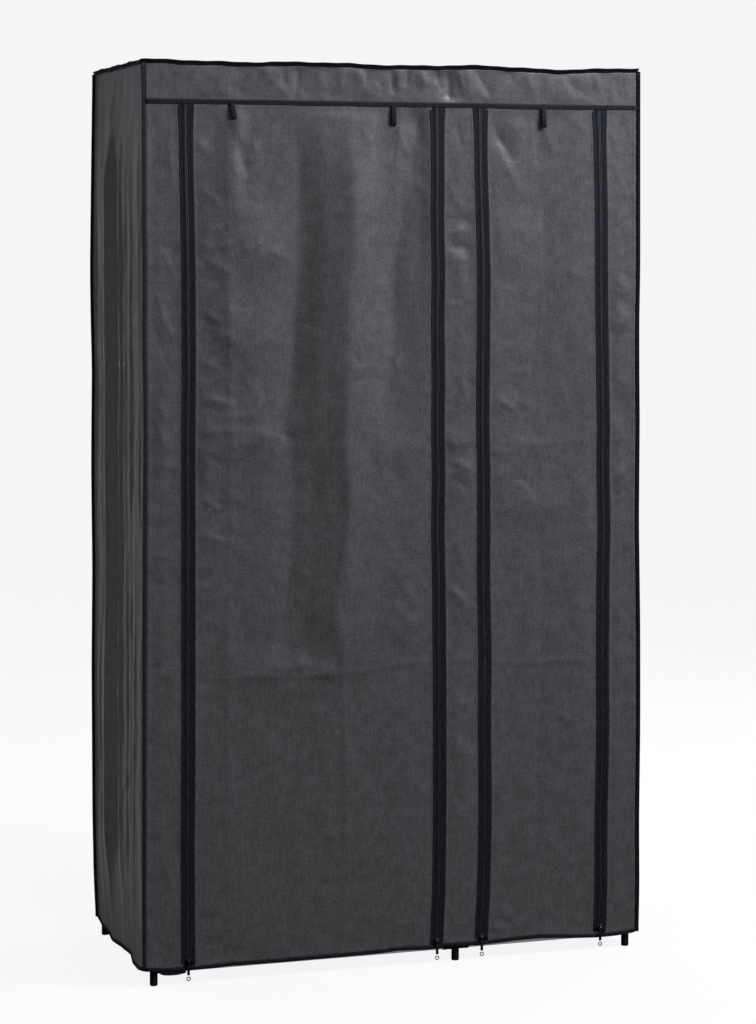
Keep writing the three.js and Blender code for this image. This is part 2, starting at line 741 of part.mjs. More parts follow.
// The floor cloth lies on the base tubes and is notched round the connectors
function floorSheet() {
  const reachX = POST_X + TUBE_RADIUS;
  const reachY = POST_Y + TUBE_RADIUS;
  const sheet = clothSheet(16, 6, (across, up, lift) => {
    const x = THREE.MathUtils.lerp(-reachX, reachX, across);
    const y = THREE.MathUtils.lerp(-reachY, reachY, up);
    const bays = sagShare(x, -POST_X, MIDDLE_X) + sagShare(x, MIDDLE_X, POST_X);
    const sag = FLOOR_SAG * bays * sagShare(y, -POST_Y, POST_Y);
    return new THREE.Vector3(x, y, TUBE_RADIUS + CLEARANCE + CLOTH / 2 - sag + lift);
  });
  const notch = 2 * CLOTH_START;
  const notches = COLUMNS.flatMap(({ x }) => {
    return ROWS.map(({ y }) => new THREE.BoxGeometry(notch, notch, notch).translate(x, y, 0));
  });
  return joined([sheet], notches);
}

function addShelves(group) {
  const width = POST_X - MIDDLE_X;
  const step = (TOP_Z - BASE_Z) / (SHELF_COUNT + 1);
  const middle = (POST_X + MIDDLE_X) / 2;
  addPiece(group, "floor_cloth", floorSheet(), "cloth", 0, 0, BASE_Z);
  for (let shelf = 1; shelf <= SHELF_COUNT; shelf += 1) {
    const z = BASE_Z + shelf * step;
    const cloth = shelfCloth(width - 2 * CLOTH_START);
    addPiece(group, `shelf_${shelf}_cloth`, cloth, "cloth", middle, 0, z);
    for (const row of ROWS) {
      const name = `shelf_${shelf}_${row.name}_rail`;
      addPiece(group, name, shelfRail(width), "plastic", MIDDLE_X, row.y, z);
    }
  }
}

const wardrobe = new THREE.Group();
const parts = { frame: addFrame, shelves: addShelves, cover: addCover, zips: addZips, ties: addTies };
for (const [name, add] of Object.entries(parts)) {
  const group = new THREE.Group();
  group.name = name;
  add(group);
  wardrobe.add(group);
}

export default wardrobe;
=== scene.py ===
"""Portable fabric wardrobe: its cloth cover, zips, bindings and tube frame.

Laid out as an add-on and run as a script. Each operator makes one group of pieces round the
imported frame, and main() calls them in order. All lengths are metres, +Z is up and the front
faces -Y.
"""

import json
import math
import random

import bmesh
import bpy
import numpy as np
from mathutils import Matrix, Vector, noise


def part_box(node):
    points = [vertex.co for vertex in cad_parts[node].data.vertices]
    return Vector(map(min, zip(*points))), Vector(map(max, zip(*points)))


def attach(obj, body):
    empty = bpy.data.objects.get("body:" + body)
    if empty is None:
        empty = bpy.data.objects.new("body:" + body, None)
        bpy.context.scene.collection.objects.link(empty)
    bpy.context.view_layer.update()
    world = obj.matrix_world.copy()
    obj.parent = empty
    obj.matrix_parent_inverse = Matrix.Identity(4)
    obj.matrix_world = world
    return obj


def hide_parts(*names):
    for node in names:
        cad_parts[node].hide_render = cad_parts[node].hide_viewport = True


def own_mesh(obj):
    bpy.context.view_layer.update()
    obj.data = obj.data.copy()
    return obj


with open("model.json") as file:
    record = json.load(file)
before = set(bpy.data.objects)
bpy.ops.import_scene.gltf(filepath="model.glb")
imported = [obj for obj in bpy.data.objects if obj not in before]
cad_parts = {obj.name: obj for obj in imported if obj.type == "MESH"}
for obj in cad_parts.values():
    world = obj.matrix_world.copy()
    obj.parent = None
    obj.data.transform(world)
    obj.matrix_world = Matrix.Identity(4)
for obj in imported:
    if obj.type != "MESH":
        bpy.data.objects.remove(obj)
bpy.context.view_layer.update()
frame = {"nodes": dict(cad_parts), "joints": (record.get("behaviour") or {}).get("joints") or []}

bl_info = {
    "name": "Portable fabric wardrobe",
    "version": (1, 0, 0),
    "blender": (4, 5, 0),
    "location": "View3D > Sidebar > Wardrobe",
    "description": "Models a zipped cloth wardrobe on a steel tube frame",
    "category": "Object",
}

MM = 0.001


def mm(*values):
    """Millimetres as metres."""
    return tuple(value * MM for value in values)


def low(node):
    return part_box(node)[0]


def high(node):
    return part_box(node)[1]


def middle(node):
    return (low(node) + high(node)) / 2


def linear(code):
    """An sRGB hex value as a linear colour."""
    parts = [int(code[place : place + 2], 16) / 255 for place in (1, 3, 5)]
    return tuple(p / 12.92 if p <= 0.04045 else ((p + 0.055) / 1.055) ** 2.4 for p in parts)


# Places that come from the frame
ZIPS = ("left_door_outer", "left_door_inner", "right_door_inner", "right_door_outer")
DOOR_SIDE = {ZIPS[0]: 1, ZIPS[1]: -1, ZIPS[2]: 1, ZIPS[3]: -1}
DOOR_OF = {ZIPS[0]: "left_door", ZIPS[1]: "left_door", ZIPS[2]: "right_door", ZIPS[3]: "right_door"}
ZIP_LINE = {name: middle(f"{name}_zip_slider").x for name in ZIPS}
COVER_Y = -low("left_door_outer_zip_fixed_tape").y
TOP_Z = high("cover_top_piping").z
SEAM_Z = low("cover_top_band").z
DOOR_TOP = high("left_door").z
DOOR_FOOT = low("left_door").z
HEM_FOOT = low("left_door_hem").z
POST_X = {name: middle(f"post_front_{name}").x for name in ("left", "middle", "right")}
POST_Y = middle("post_back_left").y
BASE_Z = middle("base_rail_front_left").z
TUBE_Z = middle("top_rail_front_left").z
SHELF_RAILS = [f"shelf_{shelf}_{row}_rail" for shelf in (1, 2) for row in ("front", "back")]

# Bound edge round the top, and how the panels meet it
EDGE_PROUD = 6 * MM
EDGE_HEIGHT = 8 * MM
EDGE_SAG = 5 * MM
COVER_X = high("cover_top_piping").x - EDGE_PROUD
PANEL_TOP = TOP_Z - EDGE_HEIGHT
ROOF_DROP = 5.9 * MM
# How far the cloth lies behind the face of the tapes and bindings that are sewn on it
UNDER_TAPE = 0.4 * MM
# The cloth stands up a little where it turns under a tape, within its rim
RIM = 9 * MM
TURN_HEIGHT = 0.7 * MM
TURN_HALF = 1.7 * MM
TURN_AT_END = 6.4 * MM

# Zips: a half tape reaches from its inner edge to its half width, partly over the cloth
TAPE_HALF = 14 * MM
TAPE_OVER_CLOTH = 4 * MM
TAPE_INNER = 3.1 * MM
# How far its flat parts lie behind the solid tape's face, and its thickness
TAPE_BEHIND = 0.1 * MM
TAPE_THICK = 0.4 * MM
# Under the seam a tape flares by this much, over this length
TAPE_FLARE = 2.2 * MM
FLARE_LENGTH = 70 * MM
# A coil: its middle out from the zip line and behind the tape's face, its half width and depth,
# and how thin it is between its turns
COIL_SIDE = 1.5 * MM
COIL_BEHIND = 0.75 * MM
COIL_HALF = mm(1.49, 0.7)
COIL_WAIST = 0.8
# Its stitches: out from the zip line and behind the tape's face
ZIP_STITCHES = mm(11.4, 0.02)
# Relief of a half tape: places out from the zip line and heights over the flat tape
TAPE_RELIEF = (
    (3.1, 0.0), (3.5, 0.22), (4.3, 0.35), (5.1, 0.22), (5.5, 0.0), (8.2, 0.0), (8.6, -0.2),
    (9.0, 0.0), (11.6, 0.05), (12.2, 0.25), (13.2, 0.25), (14.0, 0.0),
)

# Drift of each zip line to the right by height, in millimetres
ZIP_DRIFT = {
    "left_door_outer": (
        (60, 0), (250, -0.5), (450, 1.5), (850, 2.8), (1050, 3), (1150, 4.5), (1350, 4.3),
        (1450, 2.7), (1540, 0.8), (1600, 0), (1673, 0),
    ),
    "left_door_inner": (
        (60, 0), (110, 3), (180, 5), (350, 6), (550, 5.5), (750, 3.8), (850, 1.5), (950, 3),
        (1050, 1.5), (1150, 2.5), (1250, 1), (1350, 2.5), (1450, 0), (1540, 0.8), (1673, -0.6),
    ),
    "right_door_inner": (
        (60, 0), (120, 4), (200, 6), (300, 7.5), (450, 5.6), (600, 6.6), (750, 3), (850, 3.5),
        (950, 3.2), (1050, 1.2), (1200, 2), (1350, 3.2), (1450, 0.2), (1540, -3.2), (1673, -5),
    ),
    "right_door_outer": (
        (60, 0), (120, 2.5), (250, 1.8), (350, 4), (450, 5.3), (550, 4), (750, 4.5), (850, 6.5),
        (950, 3.6), (1050, 4.4), (1150, 2.3), (1250, 0.3), (1350, -1), (1450, -1.4), (1540, -3.4),
        (1673, -7),
    ),
}

# How far each corner of the cover stands out by height, in millimetres: side in X, side in Y
CORNER_DRIFT = {
    (-1, -1): (
        (30, 9), (180, 9), (350, 8), (450, 7.4), (550, 7), (750, 4.8), (950, 3.6), (1050, 3),
        (1150, 3.4), (1250, 4.6), (1350, 3.2), (1450, 4.4), (1600, 4), (1742, 5),
    ),
    (1, -1): (
        (30, 7), (120, 8.6), (250, 7.4), (450, 9), (550, 8.6), (650, 8), (750, 6.2), (850, 4.4),
        (1050, 5.2), (1150, 4), (1250, 3.4), (1350, 5), (1600, 4), (1742, 3.5),
    ),
    (-1, 1): (
        (30, 1), (120, 5), (250, 7), (550, 7.4), (750, 5), (950, 6.4), (1050, 5.4), (1150, 4),
        (1250, 6), (1350, 7), (1450, 5.5), (1600, 3), (1742, 0.5),
    ),
    (1, 1): ((30, 1), (150, 5), (400, 3), (700, 6), (1000, 4), (1250, 6), (1500, 3), (1742, 0.5)),
}

# Folds of the band: place and half width as shares of its length, and share of the highest fold
BAND_FOLDS = ((0.12, 0.06, 0.6), (0.3, 0.06, -0.8), (0.44, 0.05, 0.9), (0.6, 0.06, -1), (0.85, 0.07, 0.7))
# Dips of the front top edge: place and half width as shares of its length, and share of the sag
EDGE_DIPS = ((0.18, 0.15, 0.5), (0.5, 0.18, 0.6), (0.82, 0.16, 1))

# Creases, in millimetres: from (across, up) to (across, up), height and half width. Across is X
# for the front and the back, and the depth from the front for the sides
LEFT_DOOR_CREASES = (
    (-337, 60, -338, 1640, 1.0, 9), (-179, 80, -177, 1500, -0.5, 14),
    (-109, 90, -107, 800, 1.3, 9), (-398, 582, -200, 577, 1.2, 4), (-200, 577, -108, 578, 1.6, 4),
    (-108, 578, 68, 597, 1.5, 4), (-213, 606, -114, 580, 1.5, 7), (-108, 586, -60, 622, 0.9, 7),
    (-398, 1285, -350, 1252, 1.7, 6), (-396, 1262, -330, 1240, -1.3, 7),
    (-398, 1120, -330, 1098, 1.5, 7), (-398, 1098, -352, 1090, -1.1, 6),
    (-398, 930, -356, 902, 1.5, 7), (-396, 905, -350, 915, -1.0, 7), (-395, 1425, -350, 1436, 1.1, 7),
    (-331, 1640, -300, 1530, -1.8, 11), (-331, 1650, -385, 1588, -2.6, 13),
    (-331, 1645, -312, 1590, 1.4, 9), (-9, 1640, 22, 1570, 1.3, 10),
    (-52, 1650, -60, 1560, 1.0, 9), (40, 1655, 44, 1590, -1.4, 9), (60, 1655, 62, 1600, 1.2, 8),
    (-100, 1160, -40, 1172, 0.9, 8), (-98, 1140, -30, 1150, -0.7, 8), (-250, 640, -240, 560, 0.6, 9),
    (-396, 1510, -345, 1470, 1.4, 6), (-394, 1380, -330, 1345, 1.3, 6), (-396, 1340, -352, 1330, -1.2, 6),
    (-398, 1185, -345, 1160, 1.4, 6), (-398, 1048, -300, 1052, 1.7, 6), (-396, 1012, -350, 990, -1.3, 6),
    (-300, 1052, -225, 1030, 1.2, 7), (-398, 865, -342, 838, 1.3, 6), (-396, 700, -352, 676, 1.1, 6),
    (-330, 1390, -270, 1404, 1.3, 7), (-260, 1392, -215, 1372, 1.2, 8),
    (30, 900, 66, 935, 1.0, 8), (36, 760, 66, 730, 0.8, 8), (-395, 700, -340, 760, 0.7, 9),
)
RIGHT_DOOR_CREASES = (
    (294, 60, 295, 1030, -1.0, 8), (295, 1020, 294, 1500, 0.7, 3), (186, 1016, 412, 1012, 0.9, 7),
    (186, 1497, 300, 1490, 0.4, 12), (190, 585, 408, 578, 1.0, 5),
    (298, 1644, 282, 1560, -2.2, 10), (298, 1640, 326, 1572, 1.3, 10),
    (192, 1640, 238, 1560, -3.0, 12), (200, 1600, 250, 1500, 1.8, 14), (222, 1650, 262, 1600, 1.2, 9),
    (270, 1400, 300, 1440, 1.4, 10), (190, 1180, 240, 1210, 0.9, 8), (350, 1350, 408, 1330, 0.9, 9),
    (192, 64, 228, 54, 1.8, 5), (206, 80, 244, 60, -1.2, 5), (352, 175, 392, 190, 1.2, 5),
    (365, 205, 385, 160, -1.0, 5), (340, 150, 380, 120, 0.9, 6), (372, 60, 404, 120, 1.0, 7),
    (380, 60, 410, 96, -0.9, 6),
)
# All creases stand up by this share of their height
CREASE_SHARE = 1.25
# Broad folds, in millimetres: height, reach before and after the crest, then the crest's points.
# Before is the side of lower X or depth of an upright crest, and above a level one
LEFT_DOOR_RIDGES = (
    (9.0, 100, 95, ((-112, 600), (-108, 1100), (-99, 1400), (-97, 1640))),
    (6.0, 95, 80, ((-108, 1000), (-99, 1400), (-97, 1660))),
    (5.0, 60, 150, ((-112, 540), (-110, 1200))), (4.6, 90, 110, ((-337, 1100), (-335, 1640))),
    (-5.0, 65, 60, ((-222, 620), (-216, 1080), (-200, 1640))),
    (-8.5, 75, 85, ((-14, 1100), (10, 1655), (12, 1800))),
    (6.0, 110, 80, ((-402, 1012), (-220, 1036))), (5.0, 100, 70, ((-330, 1388), (-205, 1402))),
    (4.0, 55, 150, ((-335, 588), (-110, 583))), (2.4, 70, 60, ((-20, 700), (64, 690))),
    (3.0, 90, 60, ((-395, 1230), (-240, 1210))), (2.4, 90, 70, ((-60, 1010), (60, 1000))),
    (7.0, 46, 32, ((-10, 1440), (0, 1600), (3, 1760))),
    (3.5, 40, 26, ((-325, 1440), (-322, 1600), (-320, 1760))),
    (-1.5, 80, 90, ((-230, 200), (-215, 560))), (1.2, 60, 60, ((10, 120), (0, 480))),
)
RIGHT_DOOR_RIDGES = (
    (-4.6, 90, 85, ((295, 980), (295, 1640))), (2.6, 90, 45, ((188, 1392), (288, 1384))),
    (2.0, 90, 50, ((190, 880), (405, 900))), (2.0, 60, 60, ((380, 300), (384, 900))),
    (-1.2, 60, 60, ((240, 120), (236, 640))),
)
LEFT_SIDE_RIDGES = (
    (9.0, 70, 130, ((290, 40), (270, 600), (268, 1500), (262, 1742))),
    (6.0, 240, 120, ((290, 40), (270, 600), (268, 1500), (262, 1742))),
    (3.5, 26, 50, ((290, 40), (270, 600), (268, 1500), (262, 1742))),
    (3.4, 60, 40, ((188, 40), (190, 1720))), (2.6, 40, 50, ((112, 60), (114, 1640))),
    (3.0, 40, 60, ((40, 60), (44, 1700))), (3.0, 30, 40, ((360, 60), (352, 1680))),
)
RIGHT_SIDE_RIDGES = (
    (9.0, 110, 90, ((150, 40), (172, 700), (160, 1740))), (7.0, 70, 90, ((316, 60), (300, 1700))),
    (-4.0, 60, 60, ((240, 100), (236, 1500))), (4.0, 90, 60, ((60, 820), (380, 850))),
)
BACK_RIDGES = (
    (7.5, 50, 110, ((-330, 500), (-322, 1100), (-300, 1760))),
    (-5.0, 60, 50, ((-190, 300), (-176, 1500))),
    (6.0, 100, 60, ((-40, 100), (-20, 900), (-34, 1740))), (5.0, 50, 80, ((140, 700), (168, 1740))),
    (7.0, 90, 50, ((352, 60), (330, 900), (338, 1500))), (-3.6, 70, 50, ((240, 400), (250, 1700))),
    (3.6, 60, 110, ((-470, 585), (470, 578))), (2.6, 80, 80, ((-470, 1150), (-40, 1130))),
    (3.0, 90, 60, ((20, 1380), (460, 1350))),
)
CENTRE_STRIP_RIDGES = (
    (2.4, 22, 30, ((90, 1012), (164, 1032))), (2.8, 20, 44, ((90, 975), (164, 944))),
    (2.2, 20, 60, ((90, 738), (164, 712))), (1.8, 20, 70, ((90, 415), (164, 396))),
    (-2.4, 26, 40, ((90, 1455), (164, 1440))),
)
RIGHT_STRIP_RIDGES = (
    (1.6, 20, 34, ((436, 1262), (490, 1240))), (2.2, 18, 60, ((444, 930), (492, 968))),
    (1.4, 24, 80, ((436, 700), (490, 640))), (-1.6, 40, 50, ((436, 1120), (490, 1090))),
)
BAND_CREASES = (
    (-199, 1742, -203, 1688, -1.5, 6), (-232, 1742, -226, 1700, -0.9, 6),
    (-15, 1742, -8, 1690, -2.0, 6), (23, 1742, 15, 1704, -1.6, 5), (81, 1742, 80, 1712, -1.2, 5),
    (102, 1742, 106, 1676, -2.2, 7), (122, 1742, 136, 1690, 1.5, 7),
    (158, 1742, 190, 1688, -1.1, 7), (50, 1742, 52, 1705, 1.0, 8), (3, 1742, 2, 1700, 1.1, 7),
    (-110, 1742, -118, 1690, 0.8, 9), (-160, 1742, -150, 1695, 0.8, 8),
    (-330, 1740, -342, 1680, 0.7, 11), (260, 1735, 285, 1690, 0.8, 10),
    (340, 1738, 372, 1692, -0.7, 9), (-60, 1742, -66, 1700, -0.9, 7),
)
LEFT_SIDE_CREASES = (
    (190, 60, 188, 1700, 1.4, 6), (114, 60, 114, 1560, 0.9, 5), (299, 120, 299, 1500, -1.2, 6),
    (299, 1440, 262, 1736, 1.6, 7), (330, 1480, 352, 1190, 1.0, 6), (425, 1230, 330, 1080, 1.1, 6),
    (352, 1190, 330, 900, 0.9, 6), (390, 1000, 325, 820, 1.1, 7), (368, 700, 345, 300, 1.0, 6),
    (22, 1500, 60, 1330, 1.0, 6), (60, 980, 20, 760, 0.9, 8),
    (24, 240, 14, 1500, 1.1, 7), (52, 20, 34, 1720, -0.8, 9), (96, 20, 66, 1100, 1.5, 7),
    (104, 700, 88, 1660, -0.9, 6), (132, 30, 118, 920, -1.3, 8), (140, 30, 156, 1730, 1.3, 7),
    (176, 400, 160, 1500, -0.8, 7), (206, 30, 228, 1200, -1.3, 9), (246, 300, 232, 1600, 1.0, 8),
    (274, 30, 256, 900, -1.2, 8), (356, 40, 332, 1300, 1.5, 9), (366, 300, 384, 1720, -1.2, 7),
    (412, 40, 400, 1000, 1.4, 9), (330, 60, 346, 700, -1.0, 6), (396, 900, 372, 1700, 1.1, 6),
)
RIGHT_SIDE_CREASES = (
    (150, 60, 152, 1700, 1.4, 6), (290, 60, 288, 1650, -1.3, 6), (70, 700, 75, 1500, 1.1, 6),
    (30, 40, 44, 1200, 1.2, 7), (52, 500, 40, 1720, -1.1, 8), (100, 40, 88, 900, 1.5, 7),
    (118, 600, 132, 1700, 1.2, 7), (184, 40, 176, 1400, -1.3, 8), (214, 300, 230, 1730, 1.4, 7),
    (252, 40, 240, 1100, 1.2, 8), (330, 40, 344, 1300, 1.5, 8), (372, 500, 360, 1720, -1.2, 7),
    (404, 40, 412, 1000, 1.3, 8), (0, 584, 438, 590, 1.4, 5), (20, 1180, 170, 1040, 1.3, 7),
    (400, 1500, 310, 1280, 1.0, 7), (380, 900, 320, 620, 0.8, 7),
)
LEFT_STRIP_CREASES = (
    (-490, 822, -436, 806, 1.1, 6), (-492, 760, -440, 770, -0.7, 7), (-470, 60, -468, 1640, 0.6, 9),
    (-488, 1330, -440, 1210, 1.4, 7), (-490, 1260, -444, 1150, -1.1, 7), (-470, 1400, -436, 1330, 1.0, 7),
    (-488, 1090, -450, 1000, 0.9, 7), (-480, 600, -434, 585, 1.0, 6), (-484, 300, -440, 330, 0.7, 7),
    (-452, 1640, -446, 1500, 0.9, 8),
)
CENTRE_STRIP_CREASES = (
    (92, 1402, 160, 1394, -2.6, 11), (94, 1420, 158, 1436, 1.6, 9), (96, 1370, 150, 1376, 1.2, 10),
    (92, 1030, 128, 1012, 1.7, 7), (128, 1012, 162, 1030, 1.5, 7), (92, 990, 160, 960, 1.8, 8),
    (96, 958, 150, 925, -1.5, 8), (118, 1160, 150, 1085, 1.0, 8), (94, 742, 140, 708, 1.6, 7),
    (92, 716, 130, 690, -1.2, 7), (92, 592, 158, 594, 1.3, 6), (100, 500, 155, 512, 0.8, 8),
    (126, 60, 127, 1640, 0.6, 9), (104, 1520, 140, 1450, 1.1, 9), (110, 420, 128, 300, -1.0, 9),
    (100, 1280, 152, 1300, 0.9, 8),
)
RIGHT_STRIP_CREASES = (
    (440, 1240, 484, 1252, 1.4, 7), (442, 1222, 486, 1228, -1.1, 7), (440, 1140, 488, 1128, 1.3, 7),
    (440, 1010, 486, 1024, 1.3, 7), (444, 930, 488, 962, 1.4, 8), (444, 900, 486, 918, -1.1, 7),
    (462, 60, 461, 1640, 0.6, 9), (440, 700, 485, 640, 0.9, 8), (440, 420, 480, 500, 0.8, 8),
    (446, 60, 486, 120, 1.2, 8), (440, 1340, 486, 1310, 1.0, 8), (446, 1560, 486, 1480, 0.9, 8),
)
BACK_CREASES = (
    (-300, 60, -302, 1700, 0.9, 12), (-20, 60, -18, 1700, -0.8, 12), (260, 60, 262, 1700, 0.9, 12),
    (-480, 580, 480, 584, 0.8, 12), (-480, 1120, 480, 1114, -0.8, 12),
)

# Lower edge of the front, in millimetres: place from the middle and height of the hem's foot
FRONT_HEM = (
    (-510, 31), (-494, 30), (-480, 28), (-464, 27), (-445, 26.5), (-421, 26), (-400, 26), (-367, 26.6),
    (-337, 28.3), (-239, 27), (-120, 27.5), (-38, 28), (3, 30.5), (40, 28.5), (64, 27.7),
    (80, 28.5), (106, 30.5), (140, 29), (173, 28.5), (199, 29), (240, 31), (293, 32), (340, 29),
    (370, 26), (420, 23.5), (460, 24), (494, 27), (510, 30),
)
# The same for the back, and for each side by the depth from the front
BACK_HEM = (
    (-510, 31), (-494, 31), (-430, 28), (-300, 27), (-150, 30), (0, 32), (160, 28), (300, 27),
    (430, 30), (494, 33), (510, 33),
)
SIDE_HEM = {
    -1: (
        (0, 31), (28, 25), (68, 18), (110, 20), (124, 33), (150, 31), (202, 27), (300, 18),
        (326, 23), (390, 25), (438, 31),
    ),
    1: ((0, 32), (60, 28), (140, 24), (210, 26), (300, 33), (370, 29), (438, 33)),
}
# A fold of the hem that hangs out under the left strip: place and height of its middle
LOOSE_FOLD = ((-474, 27), (-466, 24), (-450, 23), (-436, 23.5), (-424, 26))

# How far the panels' edges stay inside the corners
INSET = 0.8 * MM
# Heights over a hem's lower edge: the foot of the panel in it, and its own middle
HEM_TUCK = 2 * MM
HEM_MIDDLE = 4 * MM
# How far a hem stands out from the cloth, and its row of stitches from its middle
HEM_OUT = 0.7 * MM
HEM_ROW = 2.4 * MM
# Heights at which a front panel's width is taken for its creases and for its flat size
MIDDLE_LEVEL = 0.8
FLAT_LEVEL = 0.1
# Zone of the short creases beside the left edge of a front panel, in millimetres
SHORT_FOOT, SHORT_HEAD, SHORT_REACH = 760, 1420, 90
# Seeds of each panel's random creases, of its swells and of its folds' wander
FRONT_SEED, DOOR_SEED, SIDE_SEED, FLOOR_SEED, SHELF_SEED = 21.7, 31.9, 13.1, 31, 40
BAND_SEEDS = (5, 11.3)
BACK_SEEDS = (9, 9.4, 17.1)
ROOF_SEEDS = (23, 3.7)
# Swells of the cloth: size and height in millimetres, and a shift of the seed
FRONT_SWELLS = ((140, 1.6, 0), (45, 1.1, 0))
BAND_SWELLS = ((60, 1.2, 0),)
SIDE_SWELLS = ((120, 1.8, 0), (40, 0.9, 0))
BACK_SWELLS = ((120, 2.2, 0), (45, 1.2, 7.1))
ROOF_SWELLS = ((80, 2.4, 0),)
# How far the broad folds wander from their crests, and over what length
FOLD_WANDER, WANDER_SIZE = 26 * MM, 110 * MM
SIDE_WANDER, SIDE_WANDER_SIZE = 14 * MM, 130 * MM
# Height of the band's highest fold, and each panel's share of its creases' height
BAND_FOLD = 1.8 * MM
BAND_CREASE_SHARE, BACK_CREASE_SHARE, ROOF_CREASE_SHARE = 1.45, 1.3, 1.4
# How far in from its seams a panel's relief is full: sides, then ends
FRONT_CALM = mm(26, 34)
SIDE_CALM = mm(24, 22)
BACK_CALM = mm(24, 20)
BAND_CALM = mm(25, 16, 9)
ROOF_CALM = 20 * MM
# Sag of the cloth between the tubes
ROOF_SAG = 8 * MM
FLOOR_SAG = 3 * MM
SHELF_SAG = 8 * MM

# Grids of the roof, the back and the band, and the extra cells in the rim of a front panel
ROOF_GRID = (140, 88)
BACK_CELL = 10 * MM
BAND_CELL = 4 * MM
RIM_CELLS = 8

# How far stitches stand off a tape, and how far a row lies from the middle of a bound edge
STITCH_LIFT = 0.02 * MM
STITCH_ROW = 2 * MM

# Connectors: how far a socket reaches, the length and height of its lip, a foot's radius, and the
# height of the foot's lower edge with the radius of its sole
SOCKET_REACH = 26 * MM
LIP = mm(4, 0.3)
FOOT_RADIUS = 7.5 * MM
FOOT_EDGE = mm(1, 6.6)
# Degrees past which an edge is shaded as a corner, and the bevel of the zips' metal parts
PLASTIC_SHARP = 40
METAL_SHARP = 35
METAL_EDGE = 0.35 * MM
# A pull's blocks below its pivot: centre and size, in millimetres
PULL_BLOCKS = (
    ((-2.15, 0, -2.9), (1.1, 1.5, 6.6)), ((2.15, 0, -2.9), (1.1, 1.5, 6.6)),
    ((0, 0, -15.3), (5.4, 1.5, 19.4)), ((0, -0.1, -15), (3.2, 1.7, 15)),
)
EYE_OUTER = 4.3 * MM
# A slider's bail, in millimetres from the middle of its front plate: back and up
BAIL = ((0.5, 4), (-1.6, 3.9), (-2.9, 2.6), (-3.0, 0), (-2.9, -2.6), (-1.6, -3.9), (0.5, -4))
# Ribbon ties: width, thickness and drop, then the loop, in millimetres from its pivot: back and
# up
TIE_WIDTH, TIE_THICK, TIE_DROP = mm(9.5, 0.6, 38)
TIE_LOOP = (
    (0.8, 1.2), (0.8, -10), (0.6, -22), (0.4, -31), (0.1, -35), (-0.6, -37.2), (-1.6, -37.3),
    (-2.5, -35.4), (-3.1, -31), (-3.2, -24), (-2.7, -15), (-1.9, -7), (-1.2, -1), (-0.9, 1.6),
)

# Camera fitted to the photo: place, degrees down and to the right, lens in millimetres, shift
CAMERA_PLACE = (-1.7421, -5.3646, 1.4209)
CAMERA_DOWN, CAMERA_RIGHT = 2.504, 18.297
CAMERA_LENS, CAMERA_SHIFT = 99.24, -0.15
# Lamps: name, place, target, width and height, watts, colour, spread in degrees, and whether the
# cloth's sheen shows them. The sheen of the two beside the left side would turn it pale
WHITE = (1, 1, 1)
LAMPS = (
    ("key", (2.2, -1.8, 3.5), (0, -0.2, 1), (1.3, 1.3), 285, (1, 0.975, 1.06), 180, True),
    ("side", (-2.2, 1.6, 0.9), (-0.5, 0, 0.9), (0.7, 2.2), 36, WHITE, 180, False),
    ("rake", (-0.85, 2.2, 0.95), (-0.62, -0.1, 0.95), (0.1, 1.8), 15.5, WHITE, 12, False),
    ("rim", (2.6, 2, 2.6), (0.2, 0, 1.1), (1.2, 1.2), 120, WHITE, 180, True),
)
WORLD_STRENGTH = 0.4
# The floor is a lit sheet: its own glow, and the little that it takes from the lamps
FLOOR_GLOW, FLOOR_GREY = 0.985, 0.05


def length(name, description, size):
    """A length setting whose default is in millimetres."""
    return bpy.props.FloatProperty(
        name=name, description=description, default=size * MM, unit="LENGTH"
    )


class WardrobeSizes(bpy.types.PropertyGroup):
    """Sizes of the soft parts and fittings round the frame."""

    cloth: length("Cloth", "Thickness of the cover cloth", 0.5)
    cell: length("Cell", "Mesh size of the cover cloth", 4.8)
    binding: length("Binding", "Width of the bias tape", 8)
    binding_depth: length("Binding depth", "Thickness of a bound edge", 2.2)
    stitch: length("Stitch", "Length of a stitch", 2.6)
    stitch_pitch: length("Stitch pitch", "Distance from stitch to stitch", 3.8)
    coil_pitch: length("Coil pitch", "Distance from turn to turn", 2)
    tube: length("Tube", "Radius of the steel tubes", 6.5)
    socket: length("Socket", "Radius of a connector's socket", 8)


def colour(name, description, code):
    """A colour setting whose default is an sRGB hex value."""
    return bpy.props.FloatVectorProperty(
        name=name, description=description, subtype="COLOR", size=3, default=linear(code)
    )


class WardrobeColours(bpy.types.PropertyGroup):
    """Colours of the cloth, trimmings, frame and floor."""

    cloth_dark: colour("Cloth, dark", "Dense patches of the cloth", "#323233")
    cloth_light: colour("Cloth, light", "Thin patches of the cloth", "#444446")
    binding: colour("Binding", "Bias tape on the edges", "#100f15")
    tape: colour("Zip tape", "Woven tape beside the coil", "#0c0f16")
    coil: colour("Coil", "Nylon coil of the zips", "#0e131a")
    thread: colour("Thread", "Sewing thread", "#16151b")
    steel: colour("Steel", "Powder coat on the tubes", "#b9bbbd")
    plastic: colour("Plastic", "Connectors and feet", "#101012")
    zinc: colour("Zinc", "Paint on sliders and pulls", "#141416")
    floor: colour("Floor", "Floor and backdrop", "#f4f4f4")


# Materials


def new_material(name):
    material = bpy.data.materials.new(name)
    material.use_nodes = True
    return material, material.node_tree, material.node_tree.nodes["Principled BSDF"]


